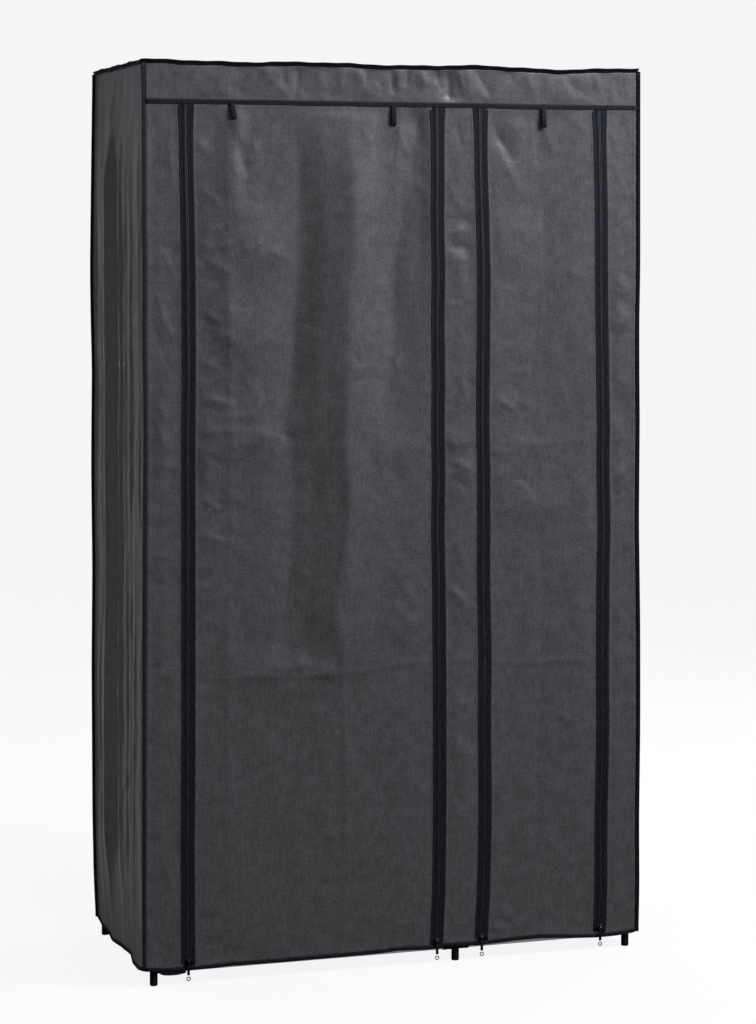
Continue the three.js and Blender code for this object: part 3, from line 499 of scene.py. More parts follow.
def add_node(tree, kind, links=None, stops=None, **settings):
    """Adds a node; links gives its sockets a source or a value, stops a ramp's colours."""
    node = tree.nodes.new(kind)
    for name, value in settings.items():
        setattr(node, name, value)
    for name, source in (links or {}).items():
        if isinstance(source, bpy.types.NodeSocket):
            tree.links.new(source, node.inputs[name])
        else:
            node.inputs[name].default_value = source
    for index, (place, value) in enumerate(stops or ()):
        element = node.color_ramp.elements[index]
        element.position = place
        element.color = (*value, 1)
    return node


def finish_shader(tree, shader, colour_out, rough_out, bumps, **values):
    """Links colour, roughness and a chain of (height, distance, strength) bumps."""
    tree.links.new(colour_out, shader.inputs["Base Color"])
    if rough_out is not None:
        tree.links.new(rough_out, shader.inputs["Roughness"])
    normal = None
    for height, distance, strength in bumps:
        links = {"Height": height, "Distance": distance, "Strength": strength}
        if normal is not None:
            links["Normal"] = normal
        normal = add_node(tree, "ShaderNodeBump", links).outputs["Normal"]
    if normal is not None:
        tree.links.new(normal, shader.inputs["Normal"])
    for name, value in values.items():
        shader.inputs[name.replace("_", " ")].default_value = value


def spunbond(colours, name="spunbonded_polypropylene", roughness=0.49, gloss=0.3):
    """Spunbonded polypropylene: fibres laid at random and point-bonded between hot rollers.

    To the eye it is a cloudy, half-matt grey with upright fibre streaks, a fine grain, and thin
    raised lines in patches where it was folded small.
    """
    material, tree, shader = new_material(name)
    # The cloud is as wide as on such cloth. Streaks of about 1 mm, a grain of about 0.5 mm and
    # bonds of 0.8 mm are drawn coarser so that they show
    sizes = {"cloud": 24 * MM, "streak": 5.2 * MM, "grain": 4.6 * MM, "patch": 120 * MM}
    details = {"cloud": 4.0, "streak": 3.0, "grain": 2.0, "patch": 2.0}
    bond_size, crinkle_size = 2.4 * MM, 55 * MM
    place = add_node(tree, "ShaderNodeTexCoord").outputs["UV"]
    upright = add_node(tree, "ShaderNodeMapping", {"Vector": place, "Scale": (1, 0.22, 1)})
    noises = {}
    for key, size in sizes.items():
        spot = upright.outputs[0] if key == "streak" else place
        links = {"Vector": spot, "Scale": 1 / size, "Detail": details[key]}
        noises[key] = add_node(tree, "ShaderNodeTexNoise", links)
    links = {"Vector": place, "Scale": 1 / bond_size, "Randomness": 0.25}
    bond = add_node(tree, "ShaderNodeTexVoronoi", links)
    # Crinkles: thin lines between cells of a bent pattern, in patches
    links = {0: noises["cloud"].outputs["Color"], 1: (crinkle_size / 3,) * 3, 2: place}
    warped = add_node(tree, "ShaderNodeVectorMath", links, operation="MULTIPLY_ADD")
    links = {"Vector": warped.outputs[0], "Scale": 1 / crinkle_size}
    web = add_node(tree, "ShaderNodeTexVoronoi", links, feature="DISTANCE_TO_EDGE")
    links = {"Value": web.outputs["Distance"], "From Max": 0.045, "To Min": 1.0, "To Max": 0.0}
    line = add_node(tree, "ShaderNodeMapRange", links)
    links = {"Value": noises["patch"].outputs[0], "From Min": 0.5, "From Max": 0.62}
    where = add_node(tree, "ShaderNodeMapRange", links)
    links = {0: line.outputs[0], 1: where.outputs[0]}
    crinkle = add_node(tree, "ShaderNodeMath", links, operation="MULTIPLY")
    total = 0.0
    for key, share in (("cloud", 0.3), ("streak", 0.28), ("grain", 0.42)):
        links = {0: noises[key].outputs[0], 1: share, 2: total}
        total = add_node(tree, "ShaderNodeMath", links, operation="MULTIPLY_ADD").outputs[0]
    stops = ((0.36, colours.cloth_dark), (0.64, colours.cloth_light))
    ramp = add_node(tree, "ShaderNodeValToRGB", {"Fac": total}, stops)
    rough = add_node(
        tree,
        "ShaderNodeMapRange",
        {
            "Value": total, "From Min": 0.3, "From Max": 0.7,
            "To Min": roughness - 0.07, "To Max": roughness + 0.07,
        },
    )
    bumps = (
        (bond.outputs["Distance"], 0.08 * MM, 0.15),
        (noises["cloud"].outputs[0], 0.9 * MM, 0.5),
        (noises["streak"].outputs[0], 0.2 * MM, 0.3),
        (noises["grain"].outputs[0], 0.2 * MM, 0.3),
        (crinkle.outputs[0], 0.28 * MM, 0.6),
    )
    finish_shader(
        tree, shader, ramp.outputs[0], rough.outputs[0], bumps, IOR=1.49, Specular_IOR_Level=gloss
    )
    return material


def woven(name, base, rib_size, roughness, along=(1, 1, 1)):
    """Woven polyester tape: fine slanting ribs with painted shade between them and painted light on them,
    and a slight sheen.
    """
    material, tree, shader = new_material(name)
    wear_size = 9 * MM
    place = add_node(tree, "ShaderNodeTexCoord").outputs["UV"]
    turned = add_node(tree, "ShaderNodeMapping", {"Vector": place, "Scale": along})
    # A wave repeats every 0.63 / scale metres, so the ribs come out twelve times as coarse as
    # the real ones, which don't show at this distance
    links = {"Vector": turned.outputs[0], "Scale": 0.05 / rib_size, "Distortion": 0.6}
    ribs = add_node(tree, "ShaderNodeTexWave", links, bands_direction="DIAGONAL")
    links = {"Vector": place, "Scale": 1 / wear_size, "Detail": 4.0}
    wear = add_node(tree, "ShaderNodeTexNoise", links)
    # The colour follows the ribs as well as their bump: painted shade in their valleys and painted light
    # on their crests, over a random mottle
    links = {0: ribs.outputs["Fac"], 1: 0.35, 2: wear.outputs[0]}
    rib_shade_and_mottle = add_node(tree, "ShaderNodeMath", links, operation="MULTIPLY_ADD")
    dark = tuple(0.7 * c for c in base)
    light = tuple(min(1.4 * c + 0.002, 1) for c in base)
    stops = ((0.35, dark), (0.95, light))
    ramp = add_node(tree, "ShaderNodeValToRGB", {"Fac": rib_shade_and_mottle.outputs[0]}, stops)
    links = {"Value": wear.outputs[0], "To Min": roughness - 0.1, "To Max": roughness + 0.1}
    rough = add_node(tree, "ShaderNodeMapRange", links)
    bumps = ((ribs.outputs["Fac"], 0.2 * MM, 0.5), (wear.outputs[0], 0.3 * MM, 0.25))
    finish_shader(
        tree, shader, ramp.outputs[0], rough.outputs[0], bumps, Specular_IOR_Level=0.08
    )
    return material


def hard_finish(name, base, roughness, metallic, grain_size, depth):
    """A moulded or coated finish: even colour with faint mottling and an orange-peel surface."""
    material, tree, shader = new_material(name)
    wear_size = 30 * MM
    place = add_node(tree, "ShaderNodeTexCoord").outputs["Object"]
    links = {"Vector": place, "Scale": 1 / grain_size, "Detail": 3.0}
    peel = add_node(tree, "ShaderNodeTexNoise", links)
    links = {"Vector": place, "Scale": 1 / wear_size, "Detail": 5.0}
    wear = add_node(tree, "ShaderNodeTexNoise", links)
    dark = tuple(0.88 * c for c in base)
    light = tuple(min(1.1 * c + 0.002, 1) for c in base)
    stops = ((0.35, dark), (0.7, light))
    ramp = add_node(tree, "ShaderNodeValToRGB", {"Fac": wear.outputs[0]}, stops)
    links = {"Value": wear.outputs[0], "To Min": roughness - 0.08, "To Max": roughness + 0.08}
    rough = add_node(tree, "ShaderNodeMapRange", links)
    bumps = ((peel.outputs[0], depth, 0.4),)
    finish_shader(tree, shader, ramp.outputs[0], rough.outputs[0], bumps, Metallic=metallic)
    return material


def material_for(context, finish):
    """The shared material of one finish, made when it is first asked for."""
    colours = context.scene.wardrobe_colours
    makers = {
        "cloth": lambda: spunbond(colours),
        # The roof's cloth is duller: dust and raised fibres lie on it
        "roof_cloth": lambda: spunbond(colours, "dusty_spunbonded_polypropylene", 0.88, 0.12),
        # Folded tape: nearly black; its ribs catch a little light along the fold, from their bumps and
        # from painted light on their crests and painted shade between them
        "binding": lambda: woven("bias_tape", colours.binding, 0.9 * MM, 0.7),
        # Zip tape: the same weave, with painted shade between its ribs and painted light on their crests
        "tape": lambda: woven("woven_zip_tape", colours.tape, 0.8 * MM, 0.7, (1, 0.5, 1)),
        # Drawn nylon: even and half matt, so that each turn has a soft light side
        "coil": lambda: hard_finish("nylon_coil", colours.coil, 0.6, 0.0, 1 * MM, 0.05 * MM),
        # Twisted staple fibre: matt, with a slight fuzz
        "thread": lambda: hard_finish("spun_thread", colours.thread, 0.6, 0.0, 0.4 * MM, 0.1 * MM),
        # Sprayed and baked powder: faint orange peel under a soft highlight
        "steel": lambda: hard_finish("powder_coat", colours.steel, 0.38, 0.0, 1.2 * MM, 0.06 * MM),
        # Moulded in an eroded tool: a fine even grain, half matt
        "plastic": lambda: hard_finish(
            "moulded_polypropylene", colours.plastic, 0.45, 0.0, 0.9 * MM, 0.08 * MM
        ),
        # Die cast and painted: smooth, with small sharp highlights
        "zinc": lambda: hard_finish("painted_zinc", colours.zinc, 0.32, 0.3, 1.5 * MM, 0.05 * MM),
    }
    known = context.scene.get("wardrobe_materials") or {}
    if finish not in known:
        made = dict(known)
        made[finish] = makers[finish]().name
        context.scene["wardrobe_materials"] = made
    return bpy.data.materials[context.scene["wardrobe_materials"][finish]]


# Meshes


def add_piece(context, bm, name, finish, body="root", nodes=(), sharp=None):
    """Turns a bmesh into a finished piece that rides on a body of the frame.

    Edges that turn by more than sharp, in degrees, are shaded as corners.
    """
    mesh = bpy.data.meshes.new(name)
    bm.to_mesh(mesh)
    bm.free()
    mesh.polygons.foreach_set("use_smooth", [True] * len(mesh.polygons))
    if sharp is not None:
        mesh.set_sharp_from_angle(angle=math.radians(sharp))
    mesh.materials.append(material_for(context, finish))
    piece = bpy.data.objects.new(name, mesh)
    context.scene.collection.objects.link(piece)
    if nodes:
        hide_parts(*nodes)
    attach(piece, body)
    return piece


def add_wall(piece, thickness, offset=-1):
    """Gives a sheet its thickness; offset -1 puts it behind the sheet, 0 on both sides."""
    wall = piece.modifiers.new("thickness", "SOLIDIFY")
    wall.thickness = thickness
    wall.offset = offset


def add_grid(bm, columns, rows, place, flat, rim=0.0):
    """A grid laid over place(across, up), with a map in metres of its flat size.

    Its outer five cells on each side lie close together, within the rim's width.
    """
    layer = bm.loops.layers.uv.verify()
    verts = bmesh.ops.create_grid(bm, x_segments=columns, y_segments=rows, size=0.5)["verts"]
    shares = np.array([v.co[:2] for v in verts]) + 0.5
    for axis, count in enumerate((columns, rows)):
        if rim:
            near, edge = 5 / count, rim / flat[axis]
            shares[:, axis] = np.interp(shares[:, axis], (0, near, 1 - near, 1), (0, edge, 1 - edge, 1))
    spots = place(shares[:, 0], shares[:, 1])
    maps = shares * np.array(flat[:2]) + np.array(flat[2:])
    for vert, spot in zip(verts, spots):
        vert.co = spot
    bm.verts.index_update()
    of_vert = {vert.index: spot for vert, spot in zip(verts, maps)}
    for face in {face for vert in verts for face in vert.link_faces}:
        for loop in face.loops:
            loop[layer].uv = of_vert[loop.vert.index]
    return verts


def add_loft(bm, rings, around, place, flat, closed=False):
    """A skin rolled from a grid over place(turn, along), welded and capped at its ends."""
    verts = add_grid(bm, around, rings, place, flat)
    kept = bmesh.ops.find_doubles(bm, verts=verts, dist=0.001 * MM)["targetmap"]
    bmesh.ops.weld_verts(bm, targetmap=kept)
    left = [vert for vert in verts if vert.is_valid]
    if not closed:
        rim = {e for v in left for e in v.link_edges if e.is_boundary}
        bmesh.ops.holes_fill(bm, edges=list(rim), sides=0)
    faces = {face for vert in left for face in vert.link_faces}
    bmesh.ops.recalc_face_normals(bm, faces=list(faces))


def points(*columns):
    """Arrays and numbers side by side as rows of coordinates."""
    return np.stack(np.broadcast_arrays(*columns), axis=-1).astype(float)


def facing(x, y, z):
    """A direction that stays the same along a path."""
    return lambda share: points(x + 0 * share, y, z)


UPWARD = facing(0, 0, 1)
FRONTWARD = facing(0, -1, 0)


def along_path(spots):
    """A function from shares of a path's length to places on it."""
    spots = np.array(spots, float)
    steps = np.linalg.norm(np.diff(spots, axis=0), axis=1)
    run = np.concatenate(([0], np.cumsum(steps))) / steps.sum()
    return lambda share: np.stack([np.interp(share, run, spots[:, k]) for k in range(3)], axis=-1)


def path_length(path):
    spots = path(np.linspace(0, 1, 400))
    return float(np.linalg.norm(np.diff(spots, axis=0), axis=1).sum())


def rounded(value):
    """Turns a circle's sine or cosine into that of a round-cornered rectangle."""
    return np.sign(value) * np.abs(value) ** 0.5


def add_binding(bm, path, wide, thin, size, seed=0, closed=False, step=7 * MM):
    """A folded tape along a path; size is its width and depth in the directions wide and thin."""
    length = path_length(path)
    rings = max(int(length / step), 4)
    width, depth = size

    def place(turn, along):
        angle = 2 * math.pi * turn
        pull = 1 + 0.07 * np.sin(along * length / (9 * MM) + seed)
        across = (width / 2 * rounded(np.cos(angle)))[:, None] * wide(along)
        through = (depth / 2 * rounded(np.sin(angle)) * pull)[:, None] * thin(along)
        return path(along) + across + through

    add_loft(bm, rings, 12, place, (2 * width, length, seed, 0), closed)


def add_edge(context, names, path, wide, thin, size, rows, seed=0, closed=False, body="root", nodes=()):
    """A folded tape along a path and its rows of stitches.

    names are the tape's and the stitches', and rows how far each row lies from the tape's middle.
    """
    bm = bmesh.new()
    add_binding(bm, path, wide, thin, size, seed, closed)
    tape = add_piece(context, bm, names[0], "binding", body, nodes)
    bm = bmesh.new()
    lift = size[1] / 2 + STITCH_LIFT
    for row in rows:
        line = lambda share: path(share) + lift * thin(share) + row * wide(share)
        add_stitches(context, bm, line, thin)
    return [tape, add_piece(context, bm, names[1], "thread", body)]


def add_stitches(context, bm, path, out):
    """A row of stitches on a path; out gives the direction away from the cloth."""
    sizes = context.scene.wardrobe_sizes
    length = path_length(path)
    count = max(int(length / sizes.stitch_pitch), 2)
    shares = (np.arange(count) + 0.5) / count
    spots = path(shares)
    ahead = path(np.minimum(shares + 0.001, 1)) - path(np.maximum(shares - 0.001, 0))
    for spot, run, away in zip(spots, ahead, out(shares)):
        run = Vector(run).normalized()
        away = Vector(away).normalized()
        side = run.cross(away)
        turn = Matrix((run, side, away)).transposed().to_4x4()
        scale = Matrix.Diagonal((sizes.stitch, 0.5 * MM, 0.3 * MM, 1))
        bmesh.ops.create_cube(bm, size=1, matrix=Matrix.Translation(spot) @ turn @ scale)


def add_bar(bm, start, end, radius, sides=24, end_radius=None):
    """A round bar between two points."""
    start, end = Vector(start), Vector(end)
    turn = (end - start).to_track_quat("Z", "Y").to_matrix().to_4x4()
    bmesh.ops.create_cone(
        bm, cap_ends=True, segments=sides, radius1=radius,
        radius2=radius if end_radius is None else end_radius, depth=(end - start).length,
        matrix=Matrix.Translation((start + end) / 2) @ turn,
    )


def add_block(bm, centre, size):
    """A box with its middle at centre; returns its corners."""
    matrix = Matrix.Translation(centre) @ Matrix.Diagonal((*size, 1))
    return bmesh.ops.create_cube(bm, size=1, matrix=matrix)["verts"]


def round_edges(bm, width):
    """Bevels every edge whose faces meet at more than half a radian."""
    edges = [e for e in bm.edges if len(e.link_faces) == 2 and e.calc_face_angle() > 0.5]
    bmesh.ops.bevel(
        bm, geom=edges, offset=width, segments=3, profile=0.5, affect="EDGES", material=-1,
        clamp_overlap=True,
    )


def spin(bm, geom, centre, axis, steps):
    """Turns a line or a section once round an axis."""
    bmesh.ops.spin(
        bm, geom=geom, cent=centre, axis=axis, dvec=(0, 0, 0), angle=2 * math.pi, steps=steps,
        use_merge=True,
    )


# Shapes of the cloth


def eased(value):
    """A share that leaves 0 and reaches 1 without a corner."""
    value = np.clip(value, 0, 1)
    return value * value * (3 - 2 * value)


def bump(offset):
    """A rounded hump over -1 to 1, of height 1."""
    return np.where(np.abs(offset) < 1, np.cos(np.clip(offset, -1, 1) * math.pi / 2) ** 2, 0)


def fold_relief(rows, across, up):
    """Upright folds of a panel, fading to its head and foot."""
    total = sum(height * bump((across - place) / reach) for place, reach, height in rows)
    return total * np.sin(math.pi * np.clip(up, 0, 1)) ** 0.6


def crease_relief(rows, x, z):
    """Sharp creases with soft shoulders along slightly bent lines, in metres."""
    bend, bend_length = 0.012, 0.3
    total = np.zeros_like(x)
    for x0, z0, x1, z1, height, soft in np.array(rows, float) * MM:
        length = math.hypot(x1 - x0, z1 - z0)
        along = ((x - x0) * (x1 - x0) + (z - z0) * (z1 - z0)) / length**2
        off = ((x - x0) * (z1 - z0) - (z - z0) * (x1 - x0)) / length
        sway = bend * min(length, bend_length) * np.sin(9 * along + 40 * x0)
        taper = np.sin(math.pi * np.clip(along, 0, 1)) ** 0.5
        total += CREASE_SHARE * height * taper * np.exp(-np.abs(off + sway) / soft)
    return total


def ridge_relief(rows, x, z):
    """Broad folds with a crisp crest, in metres."""
    crest_half, longest_fade, head_start = 5 * MM, 0.3, 0.3
    total = np.zeros_like(x)
    for height, before, after, crest in rows:
        crest = np.array(crest, float) * MM
        upright = abs(crest[-1, 1] - crest[0, 1]) > abs(crest[-1, 0] - crest[0, 0])
        run, cross = (z, x) if upright else (x, z)
        places = crest[:, ::-1] if upright else crest
        places = places[np.argsort(places[:, 0])]
        off = cross - np.interp(run, places[:, 0], places[:, 1])
        off = off if upright else -off
        reach = np.where(off < 0, before, after) * MM
        beyond = np.sqrt(off**2 + crest_half**2) - crest_half
        rise = np.clip(1 - beyond / reach, 0, 1) ** 1.3
        start, end = places[0, 0], places[-1, 0]
        fade = min(longest_fade, (end - start) * 0.45)
        ends = eased((run - start) / fade + head_start) * eased((end - run) / fade + head_start)
        total += height * MM * rise * ends
    return total


def crumple_rows(seed, box, count, largest=1.2, spread=0.6, angle=math.pi / 2):
    """Random creases of soft handling inside box (left, foot, right, head), in millimetres."""
    chance = random.Random(seed)
    left, foot, right, head = box
    shortest, longest, smallest = 20, 110, 0.25
    rows = []
    for _ in range(count):
        x, z = chance.uniform(left, right), chance.uniform(foot, head)
        lean = angle + chance.gauss(0, spread)
        length = chance.uniform(shortest, longest)
        height = chance.choice((-1, 1)) * chance.uniform(smallest, largest)
        across, up = math.cos(lean) * length / 2, math.sin(lean) * length / 2
        rows.append((x - across, z - up, x + across, z + up, height, length / 15 + 3))
    return rows


def slow_noise(x, z, size, seed):
    """Smooth noise whose swells are about size wide and 1.8 times as tall."""
    spots = zip(x / size, z / (1.8 * size))
    return np.array([noise.noise(Vector((a, b, seed))) for a, b in spots])


def swell_relief(rows, x, z, seed):
    """Slow unevenness of the cloth."""
    swells = (height * MM * slow_noise(x, z, size * MM, seed - shift) for size, height, shift in rows)
    return sum(swells)


def seam_ripples(distance, along, seed):
    """Small puckers beside a seam, drawn in by its thread."""
    height, fade, start = mm(0.28, 9, 2)
    wave = np.sin(along / (4.1 * MM) + 2 * np.sin(along / (31 * MM) + seed))
    return height * wave * np.exp(-distance / fade) * eased(distance / start)


def edge_dip(x):
    """How far the front top edge hangs below its ends."""
    across = x / (2 * (COVER_X + EDGE_PROUD)) + 0.5
    return EDGE_SAG * sum(d * bump((across - place) / reach) for place, reach, d in EDGE_DIPS)


def hem_height(rows, place):
    """Height of a hem's lower edge at places along it."""
    rows = np.array(rows) * MM
    return np.interp(place, rows[:, 0], rows[:, 1])


def drift(rows, z):
    """A smooth line through rows of height and offset, in metres."""
    rows = np.array(rows, float) * MM
    around = [np.interp(z + step, rows[:, 0], rows[:, 1]) for step in mm(-22, -10, 10, 22)]
    return sum(around) / len(around)


def zip_x(name, z):
    """The zip's line, straight at its foot so that its slider stays on it."""
    return ZIP_LINE[name] + drift(ZIP_DRIFT[name], z)


def tape_edge(name, side, z, inset=0.0):
    """The outer edge of a half tape, which flares a little under the seam."""
    flare = TAPE_FLARE * eased((z - DOOR_TOP + FLARE_LENGTH) / FLARE_LENGTH)
    return zip_x(name, z) + side * (TAPE_HALF - inset + flare)


def corner_sway(side_x, side_y, z):
    """How far a corner edge stands out at a height."""
    return drift(CORNER_DRIFT[side_x, side_y], z)


def side_sway(side, share, z):
    """How far a side stands out, from its front corner at share 0 to its back one at 1."""
    return corner_sway(side, -1, z) * (1 - share) + corner_sway(side, 1, z) * share


def top_spread(x, y):
    """How far the corners pull a place on the top outwards in X."""
    share = np.clip(0.5 + y / (2 * COVER_Y), 0, 1)
    reach = np.where(x < 0, side_sway(-1, share, PANEL_TOP), side_sway(1, share, PANEL_TOP))
    return np.sign(x) * reach * eased(np.abs(x) / COVER_X)


def beside_zip(name, side):
    return lambda z: tape_edge(name, side, z, TAPE_OVER_CLOTH)


def at_corner(side):
    return lambda z: side * (COVER_X - INSET + corner_sway(side, -1, z))


# Front panels: name, left and right edge, creases, broad folds, and how many random creases
FRONT_PANELS = (
    ("front_left_strip", at_corner(-1), beside_zip(ZIPS[0], -1), LEFT_STRIP_CREASES, (), 14),
    (
        "front_centre_strip", beside_zip(ZIPS[1], 1), beside_zip(ZIPS[2], -1),
        CENTRE_STRIP_CREASES, CENTRE_STRIP_RIDGES, 24,
    ),
    (
        "front_right_strip", beside_zip(ZIPS[3], 1), at_corner(1),
        RIGHT_STRIP_CREASES, RIGHT_STRIP_RIDGES, 24,
    ),
)
DOOR_PANELS = (
    (
        "left_door", beside_zip(ZIPS[0], 1), beside_zip(ZIPS[1], -1),
        LEFT_DOOR_CREASES, LEFT_DOOR_RIDGES, 60,
    ),
    (
        "right_door", beside_zip(ZIPS[2], 1), beside_zip(ZIPS[3], -1),
        RIGHT_DOOR_CREASES, RIGHT_DOOR_RIDGES, 36,
    ),
)


def panel_span(left, right, level):
    """Where a front panel's two edges lie at a height."""
    return float(left(np.array(level))), float(right(np.array(level)))


def front_surface(row, seed):
    """place(across, up) of a panel under the seam of the front."""
    _, left, right, creases, ridges, crumples = row
    left_end, right_end = panel_span(left, right, MIDDLE_LEVEL)
    box = tuple(v / MM for v in (left_end, HEM_FOOT, right_end, DOOR_TOP))
    rows = (*creases, *crumple_rows(seed, box, crumples))
    # Short creases reach into the panel from the zip or corner on its left
    beside = (left_end / MM, SHORT_FOOT, left_end / MM + SHORT_REACH, SHORT_HEAD)
    rows = (*rows, *crumple_rows(seed + 1, beside, crumples // 2, 1.5, 0.45, 0.0))

    def place(across, up):
        x = left_end + (right_end - left_end) * across
        foot = hem_height(FRONT_HEM, x) + HEM_TUCK
        z = foot + (DOOR_TOP - foot) * up
        x = left(z) + (right(z) - left(z)) * across
        side = np.minimum(x - left(z), right(z) - x)
        end = np.minimum(z - foot, DOOR_TOP - z)
        bent = x + FOLD_WANDER * slow_noise(x, z, WANDER_SIZE, seed + 5)
        out = ridge_relief(ridges, bent, z + 2 * (bent - x)) + crease_relief(rows, x, z)
        out += swell_relief(FRONT_SWELLS, x, z, seed)
        out *= eased(side / FRONT_CALM[0]) * eased(end / FRONT_CALM[1])
        out += seam_ripples(side, z, seed) + seam_ripples(end, x, seed + 2)
        turned = bump((side - TAPE_OVER_CLOTH - TURN_HALF) / TURN_HALF)
        turned = np.maximum(turned, bump((end - TURN_AT_END - TURN_HALF) / TURN_HALF))
        out += TURN_HEIGHT * turned
        return points(x, -COVER_Y + UNDER_TAPE - out, z)

    return place


def band_surface(across, up):
    x = (2 * across - 1) * (COVER_X - INSET)
    head = PANEL_TOP - edge_dip(x)
    z = SEAM_Z + (head - SEAM_Z) * up
    x += corner_sway(1, -1, z) * across - corner_sway(-1, -1, z) * (1 - across)
    rows = (*BAND_CREASES, *crumple_rows(BAND_SEEDS[0], (-490, 1675, 490, 1740), 60, 0.7, 0.5))
    side = COVER_X * np.minimum(across, 1 - across) * 2
    out = BAND_FOLD * fold_relief(BAND_FOLDS, across, up)
    out += BAND_CREASE_SHARE * crease_relief(rows, x, z)
    out += swell_relief(BAND_SWELLS, x, z, BAND_SEEDS[1])
    calm_side, calm_foot, calm_head = BAND_CALM
    out *= eased(side / calm_side) * eased((z - SEAM_Z) / calm_foot) * eased((head - z) / calm_head)
    out += seam_ripples(z - SEAM_Z, x, 4)
    return points(x, -COVER_Y + UNDER_TAPE - out, z)


def side_surface(side, creases, ridges, seed):
    """place(across, up) of the left (-1) or right (1) panel."""
    rows = (*creases, *crumple_rows(seed, (0, 40, 438, 1740), 90, 0.9, 0.45))

    def place(across, up):
        share = across if side > 0 else 1 - across
        y = COVER_Y * (2 * share - 1)
        depth = y + COVER_Y
        foot = hem_height(SIDE_HEM[side], depth) + HEM_TUCK
        z = foot + (PANEL_TOP - foot) * up
        edge = np.minimum(depth, 2 * COVER_Y - depth)
        # The broad folds grow weak towards the hem and the roof
        calm = (0.35 + 0.65 * eased((z - 0.03) / 0.25)) * eased((PANEL_TOP - z) / 0.25)
        bent = depth + SIDE_WANDER * slow_noise(depth, z, SIDE_WANDER_SIZE, seed + 5)
        out = ridge_relief(ridges, bent, z) * calm + crease_relief(rows, depth, z)
        out += swell_relief(SIDE_SWELLS, depth, z, seed)
        out *= eased(edge / SIDE_CALM[0]) * eased((PANEL_TOP - z) / SIDE_CALM[1])
        out += seam_ripples(edge, z, seed)
        return points(side * (COVER_X - UNDER_TAPE + side_sway(side, share, z) + out), y, z)

    return place


def back_surface(across, up):
    foot = hem_height(BACK_HEM, (1 - 2 * across) * COVER_X) + HEM_TUCK
    z = foot + (PANEL_TOP - foot) * up
    right, left = corner_sway(1, 1, z), corner_sway(-1, 1, z)
    x = (1 - 2 * across) * (COVER_X - INSET) + right * (1 - across) - left * across
    rows = (*BACK_CREASES, *crumple_rows(BACK_SEEDS[0], (-490, 40, 490, 1740), 110, 0.8, 0.6))
    edge = COVER_X - np.abs(x)
    bent = x + FOLD_WANDER * slow_noise(x, z, WANDER_SIZE, BACK_SEEDS[2])
    out = ridge_relief(BACK_RIDGES, bent, z + bent - x)
    out += BACK_CREASE_SHARE * crease_relief(rows, x, z)
    out += swell_relief(BACK_SWELLS, x, z, BACK_SEEDS[1])
    out *= eased(edge / BACK_CALM[0]) * eased((PANEL_TOP - z) / BACK_CALM[1])
    return points(x, COVER_Y - UNDER_TAPE + out, z)


def sag_share(place, start, end):
    share = np.clip((place - start) / (end - start), 0, 1)
    return np.sin(math.pi * share) ** 2


def roof_surface(across, up):
    x = (2 * across - 1) * (COVER_X - INSET)
    y = (2 * up - 1) * (COVER_Y - INSET)
    left = sag_share(x, POST_X["left"], POST_X["middle"]) * sag_share(np.abs(y), 0, POST_Y)
    right = sag_share(x, POST_X["middle"], POST_X["right"]) * sag_share(y, -POST_Y, POST_Y)
    rows = crumple_rows(ROOF_SEEDS[0], (-490, -215, 490, 215), 70, 0.8, 1.2)
    edge = np.minimum(COVER_X - np.abs(x), COVER_Y - np.abs(y))
    drop = ROOF_SAG * (left + right)
    rail_edge = POST_Y + 4 * MM
    drop += edge_dip(x) * eased((-y - rail_edge) / (COVER_Y - rail_edge))
    lift = ROOF_CREASE_SHARE * crease_relief(rows, x, y)
    lift += swell_relief(ROOF_SWELLS, x, y, ROOF_SEEDS[1])
    lift *= eased(edge / ROOF_CALM) * (left + right)
    return points(x + top_spread(x, y), y, TOP_Z - ROOF_DROP - drop + lift)


def add_cloth(context, name, grid, place, flat, nodes, body="root", seed=0, rim=0.0, finish="cloth"):
    """A sheet of the cover: a laid grid with the cloth's thickness."""
    bm = bmesh.new()
    add_grid(bm, *grid, place, (*flat, 0.37 * seed, 0.61 * seed), rim)
    piece = add_piece(context, bm, name, finish, body, nodes)
    add_wall(piece, context.scene.wardrobe_sizes.cloth)
    return piece


def cells(context, length):
    return max(int(length / context.scene.wardrobe_sizes.cell), 2)


def hem_line(surface, out):
    """A path along the foot of a panel, just outside its cloth."""
    shares = np.linspace(0, 1, 160)
    rise = (HEM_MIDDLE - HEM_TUCK) * UPWARD(shares)
    return along_path(surface(shares, 0 * shares) + HEM_OUT * out(shares) + rise)


def hem_pieces(context, name, path, out, body="root", nodes=()):
    """The bound lower edge of a panel with its row of stitches."""
    sizes = context.scene.wardrobe_sizes
    size = (sizes.binding, sizes.binding_depth)
    names = (name, f"{name}_stitches")
    return add_edge(context, names, path, UPWARD, out, size, (HEM_ROW,), len(name), body=body, nodes=nodes)


